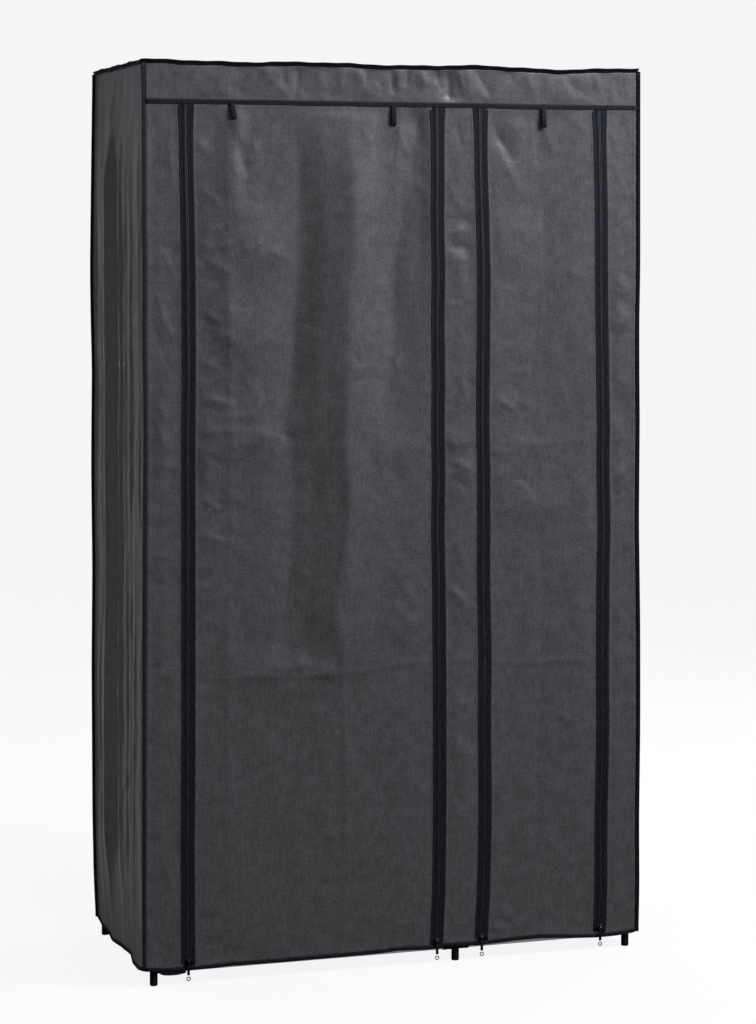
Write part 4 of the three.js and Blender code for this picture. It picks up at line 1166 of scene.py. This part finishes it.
class WARDROBE_OT_stage(bpy.types.Operator):
    """Set up the camera, a pale floor that sweeps up behind, and soft studio lights"""

    bl_idname = "wardrobe.stage"
    bl_label = "Stage"

    def execute(self, context):
        scene = context.scene
        scene.view_settings.view_transform = "Standard"
        eye = bpy.data.cameras.new("camera")
        eye.lens = CAMERA_LENS
        eye.sensor_width = 36
        eye.shift_y = CAMERA_SHIFT
        eye.clip_end = 60
        camera = bpy.data.objects.new("camera", eye)
        camera.location = CAMERA_PLACE
        camera.rotation_euler = (math.radians(90 - CAMERA_DOWN), 0, math.radians(-CAMERA_RIGHT))
        scene.collection.objects.link(camera)
        scene.camera = camera
        self.add_floor(context)
        for row in LAMPS:
            self.add_lamp(context, *row)
        world = bpy.data.worlds.new("studio")
        scene.world = world
        world.use_nodes = True
        background = world.node_tree.nodes["Background"]
        background.inputs["Color"].default_value = (*WHITE, 1)
        background.inputs["Strength"].default_value = WORLD_STRENGTH
        world.cycles_visibility.glossy = False
        return {"FINISHED"}

    def add_floor(self, context):
        """A lit floor that curves up into a round wall, so that every view has it behind."""
        reach, bend, wall = 7.5, 2.0, 9.0
        bm = bmesh.new()
        turns = np.linspace(0, math.pi / 2, 16)
        arc = [(reach + bend * math.sin(turn), bend * (1 - math.cos(turn))) for turn in turns]
        spots = [bm.verts.new((x, 0, z)) for x, z in ((0, 0), *arc, (reach + bend, wall))]
        edges = [bm.edges.new(pair) for pair in zip(spots, spots[1:])]
        spin(bm, [*spots, *edges], (0, 0, 0), (0, 0, 1), 96)
        bmesh.ops.remove_doubles(bm, verts=bm.verts[:], dist=0.01 * MM)
        bmesh.ops.recalc_face_normals(bm, faces=bm.faces[:])
        mesh = bpy.data.meshes.new("floor")
        bm.to_mesh(mesh)
        bm.free()
        mesh.polygons.foreach_set("use_smooth", [True] * len(mesh.polygons))
        # Opal acrylic lit from below: white, without shadow or shine
        material, _, shader = new_material("lit_studio_acrylic")
        shader.inputs["Base Color"].default_value = (FLOOR_GREY, FLOOR_GREY, FLOOR_GREY, 1)
        shader.inputs["Roughness"].default_value = 0.9
        shader.inputs["Specular IOR Level"].default_value = 0.0
        shader.inputs["Emission Color"].default_value = (*context.scene.wardrobe_colours.floor, 1)
        shader.inputs["Emission Strength"].default_value = FLOOR_GLOW
        mesh.materials.append(material)
        floor = bpy.data.objects.new("floor", mesh)
        floor.visible_diffuse = False
        floor.visible_glossy = False
        floor.visible_shadow = False
        context.scene.collection.objects.link(floor)

    def add_lamp(self, context, name, place, target, size, power, tint, spread, shown):
        lamp = bpy.data.lights.new(name, "AREA")
        lamp.shape = "RECTANGLE"
        lamp.size, lamp.size_y = size
        lamp.energy = power
        lamp.color = tint
        lamp.spread = math.radians(spread)
        light = bpy.data.objects.new(name, lamp)
        light.location = place
        aim = Vector(target) - Vector(place)
        light.rotation_euler = aim.to_track_quat("-Z", "Y").to_euler()
        light.visible_glossy = shown
        context.scene.collection.objects.link(light)


class WARDROBE_OT_tubes(bpy.types.Operator):
    """Make the powder-coated steel tubes"""

    bl_idname = "wardrobe.tubes"
    bl_label = "Steel tubes"

    def execute(self, context):
        starts = ("post_", "base_rail_", "top_rail_", "clothes_rail")
        for node in sorted(node for node in frame["nodes"] if node.startswith(starts)):
            size = high(node) - low(node)
            axis = max(range(3), key=lambda k: size[k])
            start, end = middle(node), middle(node)
            start[axis], end[axis] = low(node)[axis], high(node)[axis]
            self.add_tube(context, f"{node}_tube", start, end, node)
        reach = POST_Y - 10 * MM
        for side, x in POST_X.items():
            for level, z in (("base", BASE_Z), ("top", TUBE_Z)):
                ends = ((x, -reach, z), (x, reach, z))
                self.add_tube(context, f"{level}_side_tube_{side}", *ends, f"{level}_side_frame_{side}")
        for node in SHELF_RAILS:
            place = middle(node)
            start = (POST_X["middle"] + 9 * MM, place.y, place.z)
            end = (POST_X["right"] - 9 * MM, place.y, place.z)
            self.add_tube(context, f"{node}_tube", start, end, node)
        return {"FINISHED"}

    def add_tube(self, context, name, start, end, node):
        bm = bmesh.new()
        add_bar(bm, start, end, context.scene.wardrobe_sizes.tube, 32)
        add_piece(context, bm, name, "steel", nodes=(node,), sharp=50)


class WARDROBE_OT_connectors(bpy.types.Operator):
    """Make the moulded corner connectors, feet, rail sleeves and shelf collars"""

    bl_idname = "wardrobe.connectors"
    bl_label = "Connectors"

    def execute(self, context):
        sides = {"left": (1,), "middle": (-1, 1), "right": (-1,)}
        for name, x in POST_X.items():
            for row, y in (("front", -POST_Y), ("back", POST_Y)):
                arms = [Vector((side, 0, 0)) for side in sides[name]]
                arms.append(Vector((0, -math.copysign(1, y), 0)))
                for level, z, up in (("base", BASE_Z, 1), ("top", TUBE_Z, -1)):
                    piece = f"{level}_connector_{row}_{name}"
                    node = f"{level}_side_frame_{name}"
                    self.add_connector(context, piece, (x, y, z), [*arms, Vector((0, 0, up))], node)
        for name, side in (("left", 1), ("middle", -1)):
            self.add_rail_sleeve(context, name, side)
        for node in SHELF_RAILS:
            self.add_collars(context, node)
        return {"FINISHED"}

    def add_socket(self, context, bm, centre, arm):
        """One socket: a sleeve with a thicker lip at its mouth."""
        radius = context.scene.wardrobe_sizes.socket
        length, height = LIP
        centre = Vector(centre)
        mouth = centre + arm * SOCKET_REACH
        add_bar(bm, centre, mouth, radius - height, 28)
        add_bar(bm, mouth - arm * length, mouth, radius, 28)

    def add_connector(self, context, name, centre, arms, node):
        """A hub with a socket for each arm, webs between them and, at the base, a foot."""
        bm = bmesh.new()
        radius = context.scene.wardrobe_sizes.socket
        hub = Matrix.Translation(centre)
        bmesh.ops.create_uvsphere(bm, u_segments=24, v_segments=14, radius=radius, matrix=hub)
        for arm in arms:
            self.add_socket(context, bm, centre, arm)
        for first in range(len(arms)):
            for second in arms[first + 1 :]:
                if abs(arms[first].dot(second)) < 0.5:
                    self.add_gusset(bm, Vector(centre), arms[first], second, radius)
        if centre[2] == BASE_Z:
            edge, sole = FOOT_EDGE
            ground = Vector((centre[0], centre[1], 0))
            raised = ground + Vector((0, 0, edge))
            add_bar(bm, raised, centre, FOOT_RADIUS, 28)
            add_bar(bm, ground, raised, sole, 28, FOOT_RADIUS)
        add_piece(context, bm, name, "plastic", nodes=(node,), sharp=PLASTIC_SHARP)

    def add_gusset(self, bm, centre, first, second, radius):
        """A thin web between two sockets at a right angle."""
        leg, root, half = radius + 9 * MM, radius * 0.6, 1 * MM
        normal = first.cross(second) * half
        spots = ((root, root), (leg, root), (root, leg))
        corners = [centre + first * along + second * aside - normal for along, aside in spots]
        face = bm.faces.new([bm.verts.new(spot) for spot in corners])
        made = bmesh.ops.extrude_face_region(bm, geom=[face])["geom"]
        top = [g for g in made if isinstance(g, bmesh.types.BMVert)]
        bmesh.ops.translate(bm, verts=top, vec=2 * normal)
        faces = {f for v in (*top, *face.verts) for f in v.link_faces}
        bmesh.ops.recalc_face_normals(bm, faces=list(faces))

    def add_rail_sleeve(self, context, name, side):
        """The sleeve on a top side tube that holds one end of the clothes rail."""
        bm = bmesh.new()
        x, half = POST_X[name], 14 * MM
        radius = context.scene.wardrobe_sizes.socket
        add_bar(bm, (x, -half, TUBE_Z), (x, half, TUBE_Z), radius, 28)
        self.add_socket(context, bm, (x, 0, TUBE_Z), Vector((side, 0, 0)))
        add_piece(context, bm, f"clothes_rail_sleeve_{name}", "plastic", sharp=PLASTIC_SHARP)

    def add_collars(self, context, node):
        """The collars that hold a shelf rail to its two posts, each with a lip at both ends."""
        bm = bmesh.new()
        place = middle(node)
        radius = context.scene.wardrobe_sizes.socket
        up, lip_share = Vector((0, 0, 16 * MM)), 0.8
        for name, side in (("middle", 1), ("right", -1)):
            centre = Vector((POST_X[name], place.y, place.z))
            add_bar(bm, centre - up, centre + up, radius - 0.2 * MM, 28)
            add_bar(bm, centre - up, centre - up * lip_share, radius, 28)
            add_bar(bm, centre + up * lip_share, centre + up, radius, 28)
            self.add_socket(context, bm, centre, Vector((side, 0, 0)))
        add_piece(context, bm, f"{node}_collars", "plastic", nodes=(node,), sharp=PLASTIC_SHARP)


class WARDROBE_OT_shelves(bpy.types.Operator):
    """Make the floor cloth and the shelf cloths with their sewn sleeves"""

    bl_idname = "wardrobe.shelves"
    bl_label = "Shelves and floor cloth"

    def execute(self, context):
        self.add_floor_cloth(context)
        for shelf in (1, 2):
            self.add_shelf(context, shelf)
        return {"FINISHED"}

    def add_floor_cloth(self, context):
        """A cloth laid on the base rails, notched round the sockets of the connectors."""
        reach_x, reach_y = high("floor_cloth").x, high("floor_cloth").y
        level = high("floor_cloth").z - 0.4 * MM
        rows = crumple_rows(FLOOR_SEED, (-480, -205, 480, 205), 60, 0.8, 1.2)

        def place(across, up):
            x, y = (2 * across - 1) * reach_x, (2 * up - 1) * reach_y
            bays = sag_share(x, POST_X["left"], POST_X["middle"])
            bays = bays + sag_share(x, POST_X["middle"], POST_X["right"])
            slack = bays * sag_share(y, -POST_Y, POST_Y)
            return points(x, y, level - (FLOOR_SAG - crease_relief(rows, x, y)) * slack)

        bm = bmesh.new()
        add_grid(bm, 120, 54, place, (2 * reach_x, 2 * reach_y, 0.2, 0.4))
        notch = 26.3 * MM
        left, divider, right = POST_X.values()
        for x in (left + notch, divider - notch, divider + notch, right - notch):
            self.cut(bm, (x, 0, 0), (1, 0, 0))
        for y in (-POST_Y + notch, POST_Y - notch):
            self.cut(bm, (0, y, 0), (0, 1, 0))
        gone = [f for f in bm.faces if self.in_notch(f.calc_center_median(), notch)]
        bmesh.ops.delete(bm, geom=gone, context="FACES")
        cloth = add_piece(context, bm, "floor_cloth_sheet", "cloth", nodes=("floor_cloth",))
        add_wall(cloth, context.scene.wardrobe_sizes.cloth)

    def cut(self, bm, place, normal):
        geom = [*bm.verts, *bm.edges, *bm.faces]
        bmesh.ops.bisect_plane(bm, geom=geom, plane_co=place, plane_no=normal, dist=0.01 * MM)

    def in_notch(self, spot, notch):
        near_row = abs(abs(spot.y) - POST_Y) < notch
        return near_row and any(abs(spot.x - x) < notch for x in POST_X.values())

    def add_shelf(self, context, shelf):
        """A cloth sewn round its two rails, with a row of stitches along each sleeve."""
        level = middle(f"shelf_{shelf}_front_rail").z
        left = low(f"shelf_{shelf}_cloth").x
        right = high(f"shelf_{shelf}_cloth").x
        radius, sleeve = 7.2 * MM, 13 * MM
        height = lambda y: radius - SHELF_SAG * (1 - (y / POST_Y) ** 2)
        turns = np.radians(np.linspace(-35, -270, 16))
        front = [(-POST_Y + radius * math.cos(turn), radius * math.sin(turn)) for turn in turns]
        deck = [(y, height(y)) for y in np.linspace(-POST_Y, POST_Y, 50)]
        back = [(-y, z) for y, z in reversed(front)]
        path = along_path([(0, y, level + z) for y, z in (*front, *deck[1:-1], *back)])
        box = (left / MM, -190, right / MM, 190)
        rows = crumple_rows(SHELF_SEED + shelf, box, 30, 0.8, 1.2)

        def place(across, up):
            spots = path(up)
            x = left + (right - left) * across
            # The creases die out before the sleeves
            slack = eased((POST_Y - 0.02 - np.abs(spots[:, 1])) / 0.04)
            lift = crease_relief(rows, x, spots[:, 1]) * slack
            return spots + points(x, 0, lift)

        bm = bmesh.new()
        flat = (right - left, path_length(path))
        add_grid(bm, 50, 96, place, (*flat, shelf, 0.3))
        node = f"shelf_{shelf}_cloth"
        cloth = add_piece(context, bm, f"{node}_sheet", "cloth", nodes=(node,))
        add_wall(cloth, context.scene.wardrobe_sizes.cloth)
        bm = bmesh.new()
        for y in (-POST_Y + sleeve, POST_Y - sleeve):
            z = level + height(y) + 0.4 * MM
            add_stitches(context, bm, along_path([(left, y, z), (right, y, z)]), UPWARD)
        stitches = add_piece(context, bm, f"shelf_{shelf}_stitches", "thread")


class WARDROBE_OT_cover(bpy.types.Operator):
    """Make the roof, the sides and the back of the cover"""

    bl_idname = "wardrobe.cover"
    bl_label = "Roof, sides and back"

    def execute(self, context):
        height = PANEL_TOP - HEM_FOOT
        width, depth = 2 * COVER_X, 2 * COVER_Y
        roof = add_cloth(context, "roof_panel", ROOF_GRID, roof_surface, (width, depth), ("cover_roof",),
                         seed=1, finish="roof_cloth")
        sides = (
            ("left", -1, LEFT_SIDE_CREASES, LEFT_SIDE_RIDGES),
            ("right", 1, RIGHT_SIDE_CREASES, RIGHT_SIDE_RIDGES),
        )
        for name, side, creases, ridges in sides:
            surface = side_surface(side, creases, ridges, SIDE_SEED + side)
            grid = (cells(context, depth), cells(context, height))
            panel = add_cloth(context, f"{name}_side_panel", grid, surface, (depth, height),
                              (f"cover_{name}_side",), seed=3 + side)
            out = facing(side, 0, 0)
            hems = hem_pieces(context, f"{name}_side_hem", hem_line(surface, out), out)
        grid = (int(width / BACK_CELL), int(height / BACK_CELL))
        back = add_cloth(context, "back_panel", grid, back_surface, (width, height), ("cover_back",),
                         seed=6)
        out = facing(0, 1, 0)
        hems = hem_pieces(context, "back_hem", hem_line(back_surface, out), out)
        return {"FINISHED"}


class WARDROBE_OT_front(bpy.types.Operator):
    """Make the band over the doors and the strips beside them"""

    bl_idname = "wardrobe.front"
    bl_label = "Front band and strips"

    def execute(self, context):
        width, height = 2 * COVER_X, PANEL_TOP - SEAM_Z
        grid = (int(width / BAND_CELL), int(height / BAND_CELL))
        band = add_cloth(context, "top_band", grid, band_surface, (width, height), ("cover_top_band",),
                         seed=2)
        for seed, row in enumerate(FRONT_PANELS):
            name, left, right = row[:3]
            panel, flat = add_front_panel(context, row, FRONT_SEED + seed, 7 + seed)
            path = front_hem_path(hem_end(left), hem_end(right))
            hems = hem_pieces(context, f"{name}_hem", path, FRONTWARD)
            if name == "front_left_strip":
                fold = along_path([(x * MM, -COVER_Y + 1.4 * MM, z * MM) for x, z in LOOSE_FOLD])
                hems += hem_pieces(context, f"{name}_loose_hem", fold, FRONTWARD)
        return {"FINISHED"}


def add_front_panel(context, row, surface_seed, map_seed, body="root"):
    """A strip or a door under the seam, and its flat size."""
    name, left, right = row[:3]
    start, end = panel_span(left, right, FLAT_LEVEL)
    flat = (end - start, DOOR_TOP - HEM_FOOT)
    grid = [RIM_CELLS + cells(context, size) for size in flat]
    surface = front_surface(row, surface_seed)
    panel = add_cloth(context, f"{name}_panel", grid, surface, flat, (name,), body, map_seed, RIM)
    return panel, flat


def hem_end(edge):
    """Where a front hem ends: on the zip line beside the panel's edge, or at the corner."""
    x = float(edge(np.array(HEM_FOOT)))
    return next((line for line in ZIP_LINE.values() if abs(line - x) < 2 * TAPE_HALF), x)


def front_hem_path(start, end):
    x = np.linspace(start, end, 40)
    return along_path(points(x, -COVER_Y + UNDER_TAPE, hem_height(FRONT_HEM, x) + HEM_MIDDLE))


class WARDROBE_OT_doors(bpy.types.Operator):
    """Make the two doors, which roll up under the seam on the real wardrobe; here each rides whole on its
    door's body
    """

    bl_idname = "wardrobe.doors"
    bl_label = "Doors"

    def execute(self, context):
        gap = 1.6 * MM
        for seed, row in enumerate(DOOR_PANELS):
            name = row[0]
            door, flat = add_front_panel(context, row, DOOR_SEED + seed, 10 + seed, name)
            squash_door(door)
            start, end = (ZIP_LINE[line] for line in ZIPS if DOOR_OF[line] == name)
            path = front_hem_path(start + gap, end - gap)
            hems = hem_pieces(context, f"{name}_bound_hem", path, FRONTWARD, name, (f"{name}_hem",))
        return {"FINISHED"}


def squash_door(piece):
    """Gives a piece of a door its own copy of its mesh."""
    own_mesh(piece)


class WARDROBE_OT_bindings(bpy.types.Operator):
    """Make the bound edges of the roof, the corners and the seam under the band"""

    bl_idname = "wardrobe.bindings"
    bl_label = "Bindings"

    def execute(self, context):
        self.add_top_edge(context)
        self.add_corners(context)
        self.add_seam(context)
        return {"FINISHED"}

    def add_top_edge(self, context):
        """The bound edge round the top, which leans outwards and waves a little."""
        proud, turn, lowered = 2.6 * MM, 5 * MM, 0.8 * MM
        reach_x, reach_y = COVER_X + proud, COVER_Y + proud
        spots, outs = [], []
        corners = ((1, -1, -90), (1, 1, 0), (-1, 1, 90), (-1, -1, 180))
        for side_x, side_y, start in corners:
            for angle in np.radians(np.linspace(start, start + 90, 7)):
                out = np.array((math.cos(angle), math.sin(angle), 0))
                outs.append(out)
                corner = np.array((side_x * (reach_x - turn), side_y * (reach_y - turn), 0))
                spots.append(corner + turn * out)
        spots, outs = np.array((*spots, spots[0])), np.array((*outs, outs[0]))
        steps = np.linalg.norm(np.diff(spots, axis=0), axis=1)
        run = np.concatenate(([0], np.cumsum(steps))) / steps.sum()
        outward = lambda share: np.stack([np.interp(share, run, outs[:, k]) for k in range(3)], axis=-1)
        flat_path = along_path(spots)

        def wave(share, height, count):
            return height * MM * np.sin(2 * math.pi * count * share)

        def path(share):
            spot = flat_path(share)
            dip = np.where(spot[:, 1] < -reach_y + 2 * turn, edge_dip(spot[:, 0]), 0)
            rise = wave(share, 0.7, 23) + wave(share, 0.4, 57)
            spot[:, 2] = TOP_Z - EDGE_HEIGHT / 2 - lowered - dip + rise
            spot[:, 0] += top_spread(spot[:, 0], spot[:, 1])
            return spot + outward(share) * wave(share, 0.5, 31)[:, None]

        lean = math.radians(52)
        wide = lambda share: outward(share) * math.cos(lean) + math.sin(lean) * UPWARD(share)
        thin = lambda share: outward(share) * math.sin(lean) - math.cos(lean) * UPWARD(share)
        size = (8.6 * MM, context.scene.wardrobe_sizes.binding_depth)
        names = ("top_edge_binding", "top_edge_stitches")
        nodes = ("cover_top_piping",)
        add_edge(context, names, path, wide, thin, size, (-STITCH_ROW,), 1, closed=True, nodes=nodes)

    def add_corners(self, context):
        """The bound edges down the four corners; lean is how far each turns to front or back."""
        sizes = context.scene.wardrobe_sizes
        corners = (
            ("front_left", -1, -1, 0.34), ("front_right", 1, -1, 0.34),
            ("back_left", -1, 1, 0.7), ("back_right", 1, 1, 0.7),
        )
        for seed, (name, side_x, side_y, lean) in enumerate(corners):
            out = np.array((side_x * math.sqrt(1 - lean * lean), side_y * lean, 0))
            across = np.array((-out[1], out[0], 0)) * -side_x * side_y
            hem = FRONT_HEM if side_y < 0 else BACK_HEM
            foot = float(hem_height(hem, side_x * COVER_X)) + 3 * MM
            levels = np.linspace(foot, PANEL_TOP + 1 * MM, 160)
            sway = side_x * corner_sway(side_x, side_y, levels)
            centre = np.array((side_x * COVER_X, side_y * COVER_Y, 0)) + out * 2.8 * MM
            path = along_path(centre + points(sway, 0, levels))
            names = (f"corner_binding_{name}", f"corner_stitches_{name}")
            size = (sizes.binding, sizes.binding_depth)
            add_edge(context, names, path, facing(*out), facing(*across), size, (-STITCH_ROW,), seed)

    def add_seam(self, context):
        """The tape over the seam between the band and the panels below."""
        ends = [side * (COVER_X + corner_sway(side, -1, SEAM_Z)) for side in (-1, 1)]
        x = np.linspace(*ends, 200)
        wave = 0.5 * MM * np.sin(x / 0.061) + 0.3 * MM * np.sin(x / 0.023)
        path = along_path(points(x, -COVER_Y - 0.5 * MM, SEAM_Z - 2.4 * MM + wave))
        names = ("seam_binding", "seam_stitches")
        add_edge(context, names, path, UPWARD, FRONTWARD, mm(8.4, 1.4), mm(-2.9, 2.9), 3)


class WARDROBE_OT_zips(bpy.types.Operator):
    """Make the zip tapes, their stitches and coils"""

    bl_idname = "wardrobe.zips"
    bl_label = "Zip tapes and coils"

    def execute(self, context):
        for name in ZIPS:
            door = DOOR_OF[name]
            for kind, side, body in (("fixed", -DOOR_SIDE[name], "root"), ("door", DOOR_SIDE[name], door)):
                for add in (self.add_tape, self.add_coil, self.add_seam):
                    piece = add(context, name, kind, side, body)
                    if kind == "door":
                        squash_door(piece)
        return {"FINISHED"}

    def levels(self, kind, up):
        foot = HEM_FOOT if kind == "fixed" else DOOR_FOOT
        return foot + (DOOR_TOP - foot) * up

    def add_tape(self, context, name, kind, side, body):
        """Half of the zip's tape, with a rib where it is sewn on and a cord at its edge."""
        relief = np.array(TAPE_RELIEF) * MM

        def place(across, up):
            share = across if side > 0 else 1 - across
            z = self.levels(kind, up)
            flare = TAPE_FLARE * eased((z - DOOR_TOP + FLARE_LENGTH) / FLARE_LENGTH)
            out = TAPE_INNER + (TAPE_HALF - TAPE_INNER) * share
            height = np.interp(out, relief[:, 0], relief[:, 1])
            x = zip_x(name, z) + side * (out + flare * share)
            return points(x, -COVER_Y + TAPE_BEHIND - height, z)

        bm = bmesh.new()
        length = DOOR_TOP - HEM_FOOT
        flat = (TAPE_HALF - TAPE_INNER, length, 0.1 * side, 0)
        add_grid(bm, 24, cells(context, length) // 2, place, flat)
        node = f"{name}_zip_{kind}_tape"
        tape = add_piece(context, bm, f"{node}_woven", "tape", body, (node,))
        add_wall(tape, TAPE_THICK)
        return tape

    def add_coil(self, context, name, kind, side, body):
        """Half of the nylon coil, a bead for each turn."""
        pitch = context.scene.wardrobe_sizes.coil_pitch
        rings = 2 * int((DOOR_TOP - DOOR_FOOT) / pitch)
        half_width, half_depth = COIL_HALF

        def place(turn, along):
            z = self.levels(kind, along)
            swell = np.where(np.round(along * rings) % 2 == 0, 1, COIL_WAIST)
            angle = 2 * math.pi * turn
            x = zip_x(name, z) + side * COIL_SIDE + half_width * np.cos(angle) * swell
            return points(x, -COVER_Y + COIL_BEHIND + half_depth * swell * np.sin(angle), z)

        bm = bmesh.new()
        add_loft(bm, rings, 7, place, (6 * MM, DOOR_TOP - HEM_FOOT, 0, 0))
        return add_piece(context, bm, f"{name}_zip_{kind}_coil", "coil", body)

    def add_seam(self, context, name, kind, side, body):
        z = self.levels(kind, np.linspace(0.004, 0.996, 160))
        out, behind = ZIP_STITCHES
        bm = bmesh.new()
        line = points(zip_x(name, z) + side * out, -COVER_Y + behind, z)
        add_stitches(context, bm, along_path(line), FRONTWARD)
        return add_piece(context, bm, f"{name}_zip_{kind}_stitches", "thread", body)


class WARDROBE_OT_sliders(bpy.types.Operator):
    """Make the zip sliders with their bails"""

    bl_idname = "wardrobe.sliders"
    bl_label = "Zip sliders"

    def execute(self, context):
        for name in ZIPS:
            self.add_slider(context, name)
        return {"FINISHED"}

    def add_slider(self, context, name):
        """Two plates that taper downwards, lips on the front one, a wedge between and a bail."""
        node = f"{name}_zip_slider"
        x, z = middle(node).x, middle(node).z
        front_in, back_in = -COVER_Y - 0.3 * MM, -COVER_Y + 1.8 * MM
        plate, taper, lip_lean = 1.3 * MM, 0.72, 0.12
        bm = bmesh.new()
        for inner, outer in ((front_in, front_in - plate), (back_in, back_in + plate)):
            verts = add_block(bm, (x, (inner + outer) / 2, z), (11 * MM, plate, 12 * MM))
            for vert in verts:
                if vert.co.z < z:
                    vert.co.x = x + (vert.co.x - x) * taper
        for side in (-1, 1):
            root = Vector((x + side * 4.6 * MM, front_in, z))
            lip = add_block(bm, root - Vector(mm(0, 0.3, 1)), mm(1.1, 1.4, 8))
            lean = Matrix.Rotation(side * lip_lean, 3, "Y")
            bmesh.ops.rotate(bm, verts=lip, cent=root, matrix=lean)
        wedge = (2.2 * MM, back_in - front_in + 0.6 * MM, 4.6 * MM)
        add_block(bm, (x, (front_in + back_in) / 2, z + 3.4 * MM), wedge)
        round_edges(bm, METAL_EDGE)
        bail = along_path([(x, front_in - plate + out * MM, z + up * MM) for out, up in BAIL])

        def outward(share):
            ahead = bail(np.minimum(share + 0.02, 1)) - bail(np.maximum(share - 0.02, 0))
            ahead /= np.linalg.norm(ahead, axis=1)[:, None]
            return points(0, -ahead[:, 2], ahead[:, 1])

        add_binding(bm, bail, facing(1, 0, 0), outward, mm(2.4, 0.9), step=0.5 * MM)
        add_piece(context, bm, f"{node}_body", "zinc", f"{name}_slider", (node,), METAL_SHARP)


class WARDROBE_OT_pulls(bpy.types.Operator):
    """Make the zip pulls with their round eyes"""

    bl_idname = "wardrobe.pulls"
    bl_label = "Zip pulls"

    def execute(self, context):
        for name in ZIPS:
            node = f"{name}_zip_pull"
            joint = next(j for j in frame["joints"] if j["name"] == f"{name}_pull_swing")
            pivot = Vector(joint["pos_m"])
            bm = bmesh.new()
            for centre, size in PULL_BLOCKS:
                add_block(bm, pivot + Vector(mm(*centre)), mm(*size))
            round_edges(bm, METAL_EDGE)
            half = Vector(mm(2.7, 0, 0))
            add_bar(bm, pivot - half, pivot + half, 0.75 * MM, 16)
            self.add_eye(bm, Vector((pivot.x, pivot.y, low(node).z + EYE_OUTER)))
            add_piece(context, bm, f"{node}_tab", "zinc", f"{name}_pull", (node,), METAL_SHARP)
        return {"FINISHED"}

    def add_eye(self, bm, centre):
        """A ring in the plane of the front, spun from a round section."""
        wire = 0.9 * MM
        section = bmesh.ops.create_circle(bm, cap_ends=False, segments=12, radius=wire)["verts"]
        bmesh.ops.translate(bm, verts=section, vec=centre + Vector((EYE_OUTER - wire, 0, 0)))
        edges = list({e for v in section for e in v.link_edges})
        spin(bm, [*section, *edges], centre, (0, 1, 0), 40)
        ring = [v for v in bm.verts if (v.co - centre).length < EYE_OUTER + 0.1 * MM]
        faces = {f for v in ring for f in v.link_faces}
        bmesh.ops.recalc_face_normals(bm, faces=list(faces))


class WARDROBE_OT_ties(bpy.types.Operator):
    """Make the ribbon ties under the seam"""

    bl_idname = "wardrobe.ties"
    bl_label = "Ribbon ties"

    def execute(self, context):
        # Each tie's node, its body, how far its foot leans to the right, and its length's share
        ties = (
            ("left_door_tie_outer", "left_door_outer_tie", 6.5, 0.8),
            ("left_door_tie_inner", "left_door_inner_tie", -0.6, 1),
            ("right_door_tie", "right_door_tie", 1.6, 1),
        )
        for node, body, lean, share in ties:
            joint = next(j for j in frame["joints"] if j["child"] == body)
            self.add_tie(context, node, body, Vector(joint["pos_m"]), lean * MM, share)
        return {"FINISHED"}

    def add_tie(self, context, node, body, pivot, lean, share):
        path = along_path([(0, out * MM, up * MM * share) for out, up in TIE_LOOP])

        def place(across, up):
            spots = path(up)
            drop = -spots[:, 2] / TIE_DROP
            curl = 0.5 * MM * (2 * across - 1) ** 2 * eased(drop)
            x = (across - 0.5) * TIE_WIDTH * (1 + 0.04 * drop) + lean * drop
            return np.array(pivot) + spots + points(x, curl, 0)

        bm = bmesh.new()
        add_grid(bm, 8, 60, place, (TIE_WIDTH, path_length(path), 0, 0.2))
        piece = add_piece(context, bm, f"{node}_ribbon", "binding", body, (node,))
        add_wall(piece, TIE_THICK, 0)


OPERATORS = (
    WARDROBE_OT_stage,
    WARDROBE_OT_tubes,
    WARDROBE_OT_connectors,
    WARDROBE_OT_shelves,
    WARDROBE_OT_cover,
    WARDROBE_OT_front,
    WARDROBE_OT_doors,
    WARDROBE_OT_bindings,
    WARDROBE_OT_zips,
    WARDROBE_OT_sliders,
    WARDROBE_OT_pulls,
    WARDROBE_OT_ties,
)


class WARDROBE_PT_panel(bpy.types.Panel):
    """The wardrobe's settings and makers"""

    bl_idname = "WARDROBE_PT_panel"
    bl_label = "Wardrobe"
    bl_space_type = "VIEW_3D"
    bl_region_type = "UI"
    bl_category = "Wardrobe"

    def draw(self, context):
        for group in (context.scene.wardrobe_sizes, context.scene.wardrobe_colours):
            for name in group.__annotations__:
                self.layout.prop(group, name)
        for operator in OPERATORS:
            self.layout.operator(operator.bl_idname)


CLASSES = (WardrobeSizes, WardrobeColours, *OPERATORS, WARDROBE_PT_panel)


def register():
    for entry in CLASSES:
        bpy.utils.register_class(entry)
    bpy.types.Scene.wardrobe_sizes = bpy.props.PointerProperty(type=WardrobeSizes)
    bpy.types.Scene.wardrobe_colours = bpy.props.PointerProperty(type=WardrobeColours)


def unregister():
    del bpy.types.Scene.wardrobe_colours
    del bpy.types.Scene.wardrobe_sizes
    for entry in reversed(CLASSES):
        bpy.utils.unregister_class(entry)


def main():
    register()
    for operator in OPERATORS:
        group, name = operator.bl_idname.split(".")
        getattr(getattr(bpy.ops, group), name)()


if __name__ == "__main__":
    main()
